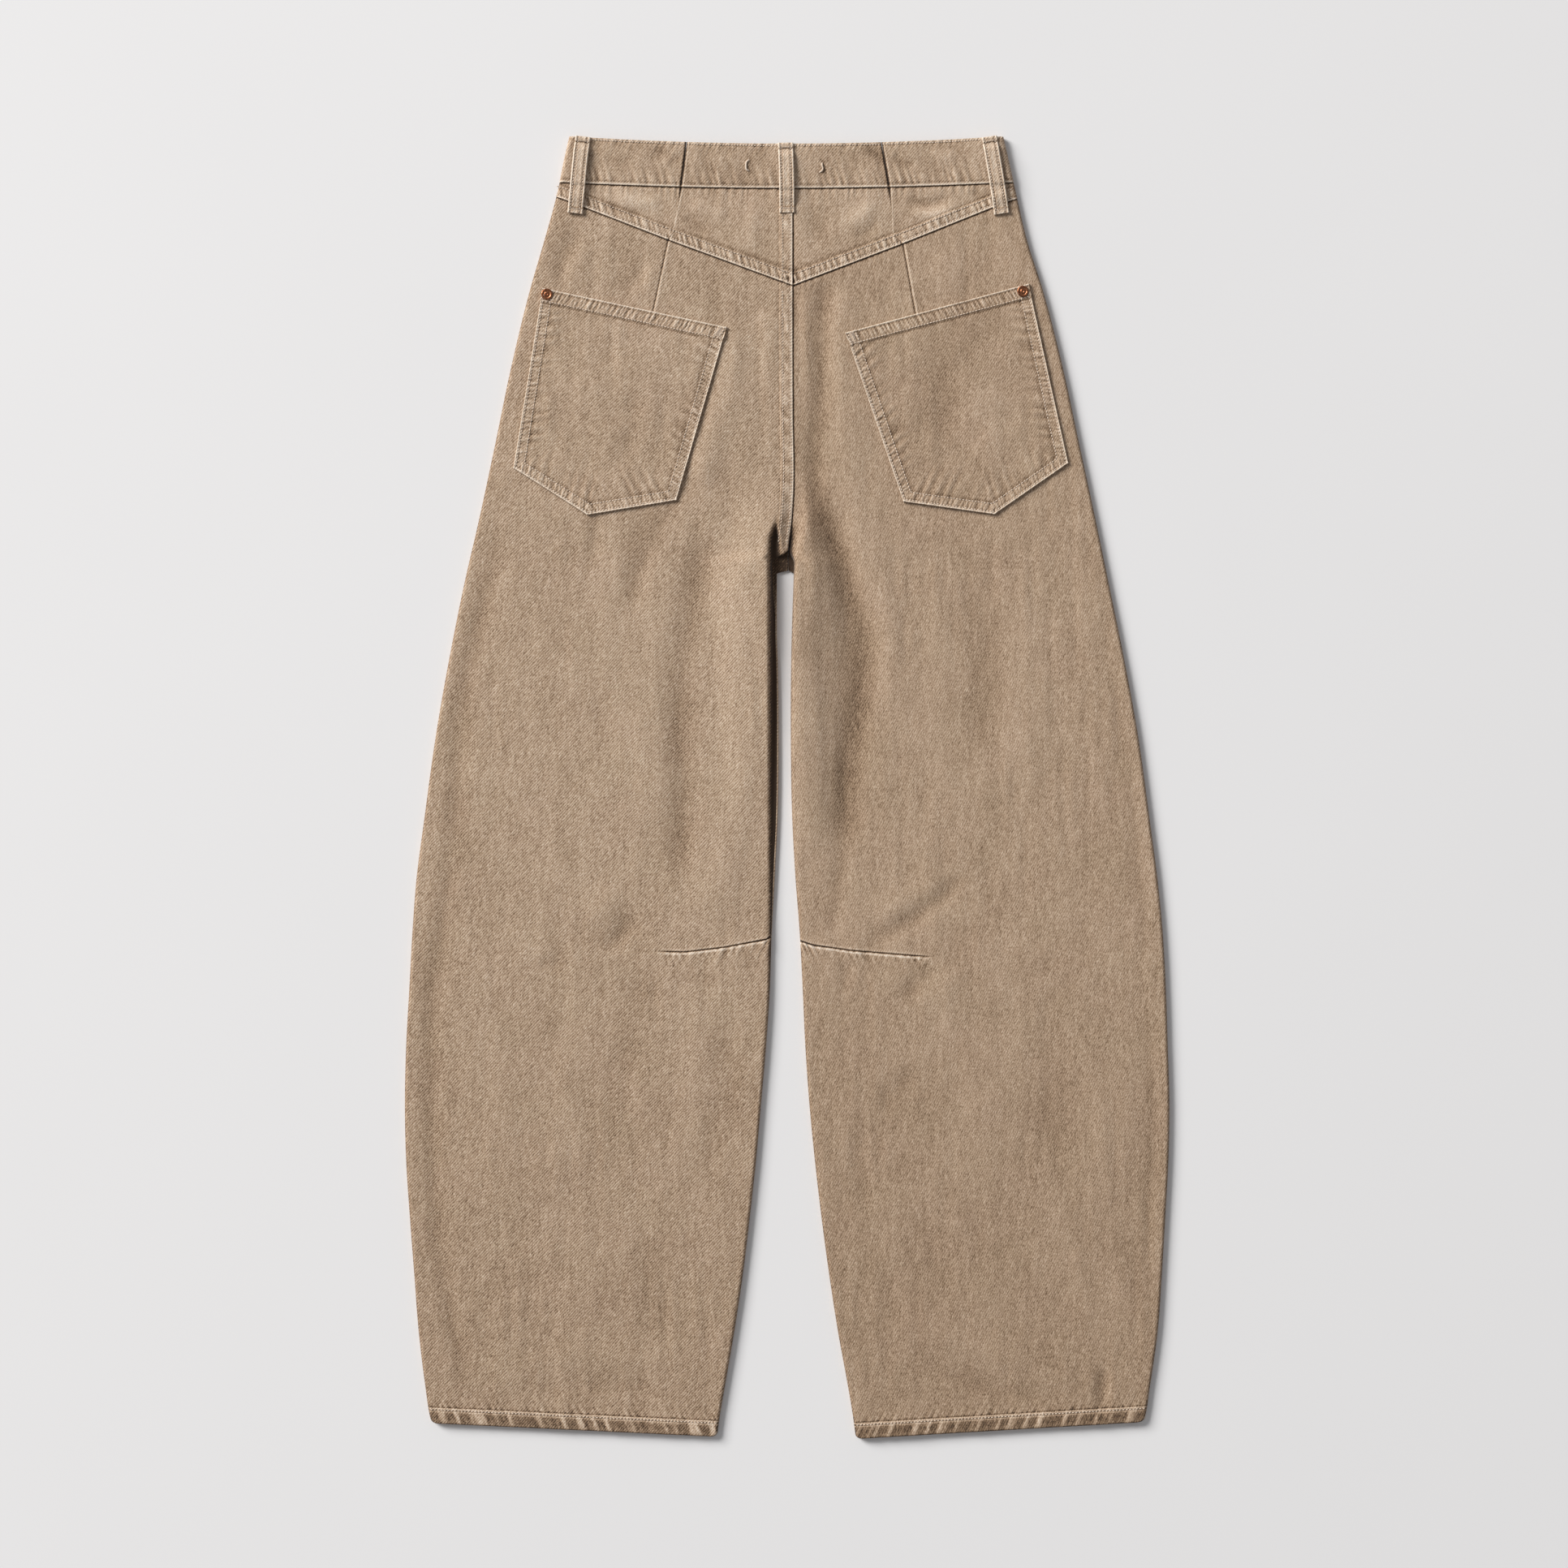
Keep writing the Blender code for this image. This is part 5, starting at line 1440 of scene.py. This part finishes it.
def offset_path(corners, distance, inside):
    """An open path moved a distance toward a point inside, with mitred corners."""
    corners = np.asarray(corners, float)
    lines = []
    for a, b in zip(corners[:-1], corners[1:]):
        run = (b - a) / np.hypot(*(b - a))
        normal = np.array([-run[1], run[0]])
        if np.dot(np.asarray(inside) - a, normal) < 0.0:
            normal = -normal
        lines.append((a + normal * distance, run))
    moved = [lines[0][0]]
    for (a, run), (b, after) in zip(lines[:-1], lines[1:]):
        matrix = np.array([run, -after]).T
        moved.append(a + run * np.linalg.solve(matrix, b - a)[0])
    last = lines[-1]
    moved.append(last[0] + last[1] * np.hypot(*(corners[-1] - corners[-2])))
    return np.array(moved)


def sew_pocket(side, surface, look):
    p = POCKETS[side]
    sewing = Sewing("stitches_pocket_" + side)
    middle = np.mean([p.top_outer, p.top_inner, p.bottom_inner, p.bottom_outer], axis=0)
    outline = [p.top_outer, p.bottom_outer, p.point, p.bottom_inner, p.top_inner]
    for distance in (ROW_NEAR, ROW_FAR):
        sewing.row(offset_path(outline, distance, middle), surface)
    top = offset_path([p.top_outer, p.top_inner], POCKET_HEM_ROW, middle)
    run = (top[1] - top[0]) / np.hypot(*(top[1] - top[0]))
    sewing.row([top[0] + run * 2.0, top[1] - run * 2.0], surface)
    inner = np.array(p.top_inner)
    down = (np.array(p.bottom_inner) - inner) / np.hypot(*(np.array(p.bottom_inner) - inner))
    corner = inner - run * 4.8 + down * 1.2
    sewing.bartack(corner, corner + down * 8.0, 4.6, surface)
    sewing.build(look)


def sew_seat(surface_back, surface_yoke, look):
    """Rows beside the centre back seam and above the yoke's lower seam."""
    sewing = Sewing("stitches_seat")
    for distance in (ROW_NEAR, ROW_FAR):
        heights = np.linspace(398.0, 196.0, 60)
        path = [(float(centre_seam(h)) - SEAM_GAP / 2 - distance, h) for h in heights]
        sewing.row(path, surface_back)
        heights = np.linspace(477.0, 404.0 + distance * 0.4, 20)
        path = [(float(centre_seam(h)) - SEAM_GAP / 2 - distance, h) for h in heights]
        sewing.row(path, surface_yoke)
        knots = [-186.0, DART_SEAMS["left"].yoke_seam, 4.6 - distance * 0.36,
                 4.6 + distance * 0.36, DART_SEAMS["right"].yoke_seam, 181.0]
        for a, b in ((0, 1), (1, 2), (3, 4), (4, 5)):
            across = np.linspace(knots[a] + 0.6, knots[b] - 0.6, 30)
            slope = (yoke_seam(across[-1]) - yoke_seam(across[0])) / (across[-1] - across[0])
            rise = distance * math.hypot(1.0, slope) + SEAM_GAP / 2
            sewing.row(np.column_stack([across, yoke_seam(across) + rise]), surface_yoke)
    sewing.build(look)


def sew_waist(surface_band, look):
    """Rows along the waistband's two edges, from seam to seam."""
    sewing = Sewing("stitches_waist")
    rows = [
        ("band_top", 519.0, band_top, -1.8, (2.3,)),
        ("band_seam", 486.0, band_seam, 2.4, (2.6, 0.6, 0.18)),
    ]
    from_dart = 0.8
    from_side = 5.0
    for column, height, line, shift, sewn in rows:
        left, right = [getattr(DART_SEAMS[side], column) for side in ("left", "right")]
        stretches = [
            (outer_edge("left", height) + from_side, left - from_dart),
            (left + from_dart, right - from_dart),
            (right + from_dart, outer_edge("right", height) - from_side),
        ]
        for start, end in stretches:
            across = np.linspace(start, end, 40)
            sewing.row(np.column_stack([across, line(across) + shift]), surface_band, *sewn)
    sewing.build(look)


def sew_loop(side, surface, look):
    loop = LOOPS[side]
    sewing = Sewing("stitches_loop_" + side)
    top, bottom = np.array(loop.top), np.array(loop.bottom)
    length = np.hypot(*(bottom - top))
    run = (bottom - top) / length
    beside = np.array([-run[1], run[0]])
    for offset in (-1.0, 1.0):
        shift = beside * offset * (LOOP_WIDTH / 2 - 2.3)
        sewing.row([top + run * 1.0 + shift, bottom - run * 1.0 + shift], surface, 2.3)
    half = beside * (LOOP_WIDTH / 2 - 0.9)
    for place in (LOOP_END - 0.9, length - LOOP_END + 0.9):
        middle = top + run * place
        sewing.bartack(middle - half, middle + half, 1.3, surface)
    sewing.build(look)


def sew_hem(side, surface, look):
    sewing = Sewing("stitches_hem_" + side)
    hem = HEMS[side]
    toward = INWARD[side]
    start = float(outer_edge(side, hem.outer + HEM_WIDTH)) + toward * 1.6
    end = float(leg_edge(side + "_inner", hem.inner + HEM_WIDTH)) - toward * 1.6
    across = np.linspace(start, end, 60)
    path = np.column_stack([across, hem_edge(side, across) + HEM_WIDTH - 1.5])
    sewing.row(path, surface, 2.7, 0.7)
    sewing.build(look)


def thread_tack(side, surface, look):
    """A short bent thread whose ends go into the waistband."""
    path = np.array(TACKS[side])
    fine = np.linspace(0.0, 1.0, 25)
    knots = np.linspace(0.0, 1.0, len(path))
    x = spline(fine, knots, path[:, 0])
    y = spline(fine, knots, path[:, 1])
    radius = 0.68
    sides = 8
    points = []
    for i, place in enumerate(fine):
        ahead = np.array([np.gradient(x)[i], np.gradient(y)[i]])
        ahead = ahead / np.hypot(*ahead)
        beside = np.array([-ahead[1], ahead[0]])
        lift = 0.6 - 1.2 * abs(2.0 * place - 1.0) ** 6
        z = surface.height(float(x[i]), float(y[i])) + lift
        for step in range(sides):
            angle = 2.0 * math.pi * step / sides
            twist = radius * (1.0 + 0.12 * math.sin(3.0 * angle + 2.4 * i))
            points.append((x[i] + beside[0] * twist * math.cos(angle),
                           y[i] + beside[1] * twist * math.cos(angle), z + twist * math.sin(angle)))
    faces = tube_faces(len(fine), sides)
    made = new_object("tack_" + side, (np.array(points) * MM).tolist(), faces, look)
    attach(made, "root")


def turned(name, node, centre, base, profile, look, notches=0):
    """A round piece turned about a vertical axis, from (radius, height) pairs."""
    steps = 64
    points = []
    for radius, height in profile:
        for step in range(steps):
            angle = 2.0 * math.pi * step / steps
            wave = 1.0 + 0.012 * math.sin(notches * angle) if notches else 1.0
            points.append((centre[0] + radius * wave * math.cos(angle),
                           centre[1] + radius * wave * math.sin(angle), base + height))
    faces = tube_faces(len(profile), steps)
    made = new_object(name, (np.array(points) * MM).tolist(), faces, look)
    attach(made, "root")
    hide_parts(node)


def rivet(side, surface, look):
    """A copper rivet head: a rolled rim, a dished ring and a nub in the middle."""
    spot = RIVETS[side]
    base = surface.height(*spot) + SEAM_GAP
    r = RIVET_RADIUS
    profile = [
        (0.94 * r, -0.2), (0.985 * r, 0.0), (r, 0.22), (0.985 * r, 0.45), (0.94 * r, 0.64),
        (0.87 * r, 0.76), (0.79 * r, 0.80), (0.71 * r, 0.74), (0.64 * r, 0.60), (0.58 * r, 0.46),
        (0.52 * r, 0.40), (0.46 * r, 0.42), (0.41 * r, 0.52), (0.38 * r, 0.72), (0.35 * r, 0.94),
        (0.31 * r, 1.06), (0.26 * r, 1.10), (0.20 * r, 1.05), (0.15 * r, 0.92), (0.11 * r, 0.80),
        (0.06 * r, 0.74), (0.02 * r, 0.73),
    ]
    turned("rivet_head_" + side, "rivet_" + side, spot, base, profile, look, 22)


def button(look):
    """The shank button's cap, pressed into the waistband's under side."""
    r = BUTTON_RADIUS
    profile = [
        (0.02 * r, 0.55), (0.30 * r, 0.50), (0.52 * r, 0.42), (0.62 * r, 0.36), (0.70 * r, 0.16),
        (0.78 * r, 0.04), (0.85 * r, 0.0), (0.92 * r, 0.06), (0.97 * r, 0.22), (r, 0.45),
        (r, 0.85), (0.97 * r, 1.10), (0.90 * r, BUTTON_HEIGHT), (0.3 * r, BUTTON_HEIGHT),
    ]
    turned("button_cap", "button", button_place(), 0.0, profile, look)


def linear(colour):
    """Linear light from sRGB values of 0 to 255."""
    values = np.array(colour) / 255.0
    low = values / 12.92
    high = ((values + 0.055) / 1.055) ** 2.4
    return (*np.where(values <= 0.04045, low, high).tolist(), 1.0)


class Shader:
    """A material's node tree, built up by small calls that return sockets."""

    def __init__(self, name):
        self.material = bpy.data.materials.new(name)
        self.material.use_nodes = True
        self.tree = self.material.node_tree
        self.surface = self.tree.nodes["Principled BSDF"]
        self.object = self.add("ShaderNodeTexCoord").outputs["Object"]

    def add(self, kind, **settings):
        made = self.tree.nodes.new(kind)
        for name, value in settings.items():
            setattr(made, name, value)
        return made

    def put(self, value, socket):
        if isinstance(value, bpy.types.NodeSocket):
            self.tree.links.new(value, socket)
        else:
            socket.default_value = value

    def math(self, operation, a, b=0.0):
        made = self.add("ShaderNodeMath", operation=operation)
        self.put(a, made.inputs[0])
        self.put(b, made.inputs[1])
        return made.outputs[0]

    def place(self, scale, turn=0.0):
        """The object's points in millimetres, turned about Z in degrees, then scaled."""
        turned_by = self.add("ShaderNodeVectorRotate", rotation_type="Z_AXIS")
        self.put(self.object, turned_by.inputs["Vector"])
        turned_by.inputs["Angle"].default_value = math.radians(-turn)
        made = self.add("ShaderNodeVectorMath", operation="MULTIPLY")
        self.put(turned_by.outputs[0], made.inputs[0])
        made.inputs[1].default_value = [s / MM for s in scale]
        return made.outputs[0]

    def noise(self, vector, detail=2.0, roughness=0.55, distortion=0.0):
        made = self.add("ShaderNodeTexNoise")
        self.put(vector, made.inputs["Vector"])
        made.inputs["Scale"].default_value = 1.0
        made.inputs["Detail"].default_value = detail
        made.inputs["Roughness"].default_value = roughness
        made.inputs["Distortion"].default_value = distortion
        return made.outputs["Fac"]

    def centred(self, value, amount):
        return self.math("MULTIPLY", self.math("SUBTRACT", value, 0.5), amount)

    def total(self, *values):
        result = values[0]
        for value in values[1:]:
            result = self.math("ADD", result, value)
        return result

    def ramp(self, value, stops):
        made = self.add("ShaderNodeValToRGB")
        elements = made.color_ramp.elements
        while len(elements) < len(stops):
            elements.new(0.5)
        for element, (position, colour) in zip(elements, stops):
            element.position = position
            element.color = linear(colour)
        self.put(value, made.inputs[0])
        return made.outputs[0]

    def tint(self, colour, factor, shade):
        made = self.add("ShaderNodeMix", data_type="RGBA", blend_type="MULTIPLY")
        self.put(factor, made.inputs[0])
        self.put(colour, made.inputs[6])
        made.inputs[7].default_value = (*shade, 1.0)
        return made.outputs[2]

    def bump(self, height, distance, strength):
        made = self.add("ShaderNodeBump")
        made.inputs["Distance"].default_value = distance
        made.inputs["Strength"].default_value = strength
        self.put(height, made.inputs["Height"])
        self.put(made.outputs[0], self.surface.inputs["Normal"])

    def finish(self, colour, roughness, metallic=0.0, sheen=0.0, specular=0.5):
        self.put(colour, self.surface.inputs["Base Color"])
        self.put(roughness, self.surface.inputs["Roughness"])
        self.surface.inputs["Metallic"].default_value = metallic
        self.surface.inputs["Sheen Weight"].default_value = sheen
        self.surface.inputs["Sheen Roughness"].default_value = 0.6
        self.surface.inputs["Specular IOR Level"].default_value = specular
        return self.material


def denim(name, turn, twill, grain, brightness=0.0):
    """Washed denim: twill at an angle from +X, uneven yarn along Y, speckle, and the
    fading, painted shade and painted highlight held in the mesh's attribute.
    """
    shader = Shader(name)
    bend = shader.centred(shader.noise(shader.place((0.05, 0.05, 0.05)), 2.0), 5.0)
    lines = shader.add("ShaderNodeSeparateXYZ")
    shader.put(shader.place((1.0, 1.0, 1.0), turn), lines.inputs[0])
    dash = shader.noise(shader.place((0.42, 1.25, 0.5), turn), 2.0, 0.65)
    jitter = shader.centred(dash, 7.0)
    across = shader.math("MULTIPLY", lines.outputs[1], 2.0 * math.pi / 1.72)
    wave = shader.math("SINE", shader.total(across, jitter, bend))
    ribs = shader.total(shader.math("MULTIPLY", wave, 0.55), shader.centred(dash, 3.0))
    yarn = shader.noise(shader.place((0.85, 0.10, 0.3), 2.0), 3.0, 0.62)
    slub = shader.noise(shader.place((0.26, 0.04, 0.1), -3.0), 3.0, 0.65)
    speck = shader.noise(shader.place((1.15, 0.70, 0.9), 4.0), 1.0, 0.5)
    fleck = shader.noise(shader.place((0.55, 0.30, 0.4), 12.0), 2.0, 0.6)
    patch = shader.noise(shader.place((0.03, 0.018, 0.03)), 4.0, 0.6)
    # The attribute holds the cloth's fading together with painted shade and painted highlights.
    wear_and_shade = shader.add("ShaderNodeAttribute", attribute_name="wear_and_shade").outputs["Fac"]
    value = shader.total(
        shader.math("MULTIPLY", ribs, twill),
        shader.centred(speck, grain),
        shader.centred(fleck, 0.14),
        shader.centred(yarn, 0.34),
        shader.centred(slub, 0.22),
        shader.centred(patch, 0.13),
        shader.math("MULTIPLY", wear_and_shade, 0.42),
        0.5 + brightness,
    )
    colour = shader.ramp(value, [
        (0.0, PAINTED_SHADE), (0.22, DARK), (0.5, MIDDLE), (0.76, PALE), (1.0, RUBBED),
    ])
    cast = shader.noise(shader.place((0.02, 0.02, 0.02), 30.0), 3.0, 0.6)
    colour = shader.tint(colour, cast, (0.97, 1.0, 0.96))
    shader.bump(shader.total(shader.math("MULTIPLY", ribs, twill * 4.0), shader.centred(speck, grain * 3.0),
                             shader.centred(yarn, 0.8)), 0.0001, 0.7)
    rough = shader.math("ADD", shader.centred(speck, 0.1), 0.9)
    return shader.finish(colour, rough, sheen=0.12, specular=0.18)


def thread(name, dark, light):
    """Cotton sewing thread with its twist."""
    shader = Shader(name)
    twist = shader.noise(shader.place((2.6, 0.8, 1.0), 40.0), 2.0)
    patch = shader.noise(shader.place((0.04, 0.04, 0.04)), 2.0)
    value = shader.total(shader.centred(twist, 0.9), shader.centred(patch, 0.7), 0.5)
    colour = shader.ramp(value, [(0.15, dark), (0.85, light)])
    shader.bump(twist, 0.00015, 0.6)
    return shader.finish(colour, 0.85, sheen=0.2, specular=0.2)


def copper(name):
    """Aged copper in uneven dark and bright patches."""
    shader = Shader(name)
    grime = shader.noise(shader.place((0.9, 0.9, 0.9)), 4.0, 0.65)
    colour = shader.ramp(grime, [(0.3, (74, 42, 30)), (0.5, (146, 92, 64)), (0.72, (212, 156, 120))])
    rough = shader.math("ADD", shader.centred(grime, -0.5), 0.42)
    shader.bump(grime, 0.0001, 0.5)
    return shader.finish(colour, rough, metallic=1.0)


def paper(name):
    """The pale floor."""
    shader = Shader(name)
    tone = shader.noise(shader.place((0.004, 0.004, 0.004)), 2.0)
    colour = shader.ramp(tone, [(0.0, (233, 232, 232)), (1.0, (235, 234, 234))])
    return shader.finish(colour, 0.95, specular=0.1)


def lay_floor():
    size = 4000.0
    corners = [(-size, -size), (size, -size), (size, size), (-size, size)]
    points = [(x * MM, y * MM, -0.3 * MM) for x, y in corners]
    floor = new_object("floor", points, [(0, 1, 2, 3)], paper("pale_floor"))


def aim(thing, place, target):
    thing.location = place
    direction = Vector(target) - Vector(place)
    thing.rotation_euler = direction.to_track_quat("-Z", "Y").to_euler()


def light_scene():
    """A large soft light from the upper left and even light from all round."""
    data = bpy.data.lights.new("key", "AREA")
    data.shape = "SQUARE"
    data.size = 8.6
    data.energy = 5500.0
    data.color = (1.0, 0.992, 0.98)
    key = bpy.data.objects.new("key", data)
    bpy.context.scene.collection.objects.link(key)
    aim(key, (-14.0, 10.0, 9.6), (0.0, 0.0, 0.0))
    world = bpy.data.worlds.new("studio")
    world.use_nodes = True
    background = world.node_tree.nodes["Background"]
    background.inputs["Color"].default_value = (0.97, 0.975, 1.0, 1.0)
    background.inputs["Strength"].default_value = 0.30
    bpy.context.scene.world = world
    bpy.context.scene.view_settings.view_transform = "Standard"


def place_camera():
    """Straight above the middle of the photo, at its scale."""
    pixel = 0.65
    frame_pixels = 1932
    middle = frame_pixels / 2
    origin_pixel = 970.0
    data = bpy.data.cameras.new("camera")
    data.sensor_fit = "HORIZONTAL"
    data.sensor_width = 36.0
    distance = 3.0
    data.lens = data.sensor_width * (distance - LEG_HEIGHT * MM) / (pixel * MM * frame_pixels)
    camera = bpy.data.objects.new("camera", data)
    shift = (middle - origin_pixel) * pixel * MM
    camera.location = (shift, -shift, distance)
    bpy.context.scene.collection.objects.link(camera)
    bpy.context.scene.camera = camera


def make_trousers():
    left_cloth = denim("denim_left", 47.0, 0.27, 0.5, 0.03)
    right_cloth = denim("denim_right", 62.0, 0.16, 0.62, 0.0)
    yoke_cloth = denim("denim_yoke", 52.0, 0.22, 0.55, 0.06)
    band_cloth = denim("denim_waistband", 48.0, 0.24, 0.52, 0.03)
    loop_cloth = denim("denim_loops", 55.0, 0.22, 0.6, 0.04)
    pocket_cloth = {
        "left": denim("denim_pocket_left", 44.0, 0.27, 0.52, 0.03),
        "right": denim("denim_pocket_right", 58.0, 0.19, 0.58, -0.03),
    }
    cotton = thread("cotton_thread", (188, 165, 142), (236, 220, 203))
    metal = copper("aged_copper")
    cloths = {"left": left_cloth, "right": right_cloth}
    backs = {}
    for side, cloth in cloths.items():
        front_panel(side, cloth)
        backs[side] = back_panel(side, cloth)
    yokes = yoke(yoke_cloth)
    bands = [waistband_back(band_cloth)]
    for side in cloths:
        bands.append(waistband_side(side, band_cloth))
        pocket_surface = Surface([pocket(side, pocket_cloth[side])])
        sew_pocket(side, pocket_surface, cotton)
        rivet(side, pocket_surface, metal)
        sew_hem(side, Surface([backs[side][-40:]]), cotton)
    sew_seat(Surface([backs["left"][:, -60:]]), Surface(yokes), cotton)
    band_surface = Surface(bands)
    sew_waist(band_surface, cotton)
    for side in TACKS:
        thread_tack(side, band_surface, cotton)
    for side in LOOPS:
        sew_loop(side, Surface([belt_loop(side, loop_cloth)]), cotton)
    fly(yoke_cloth)
    button(metal)


place_camera()
light_scene()
lay_floor()
make_trousers()
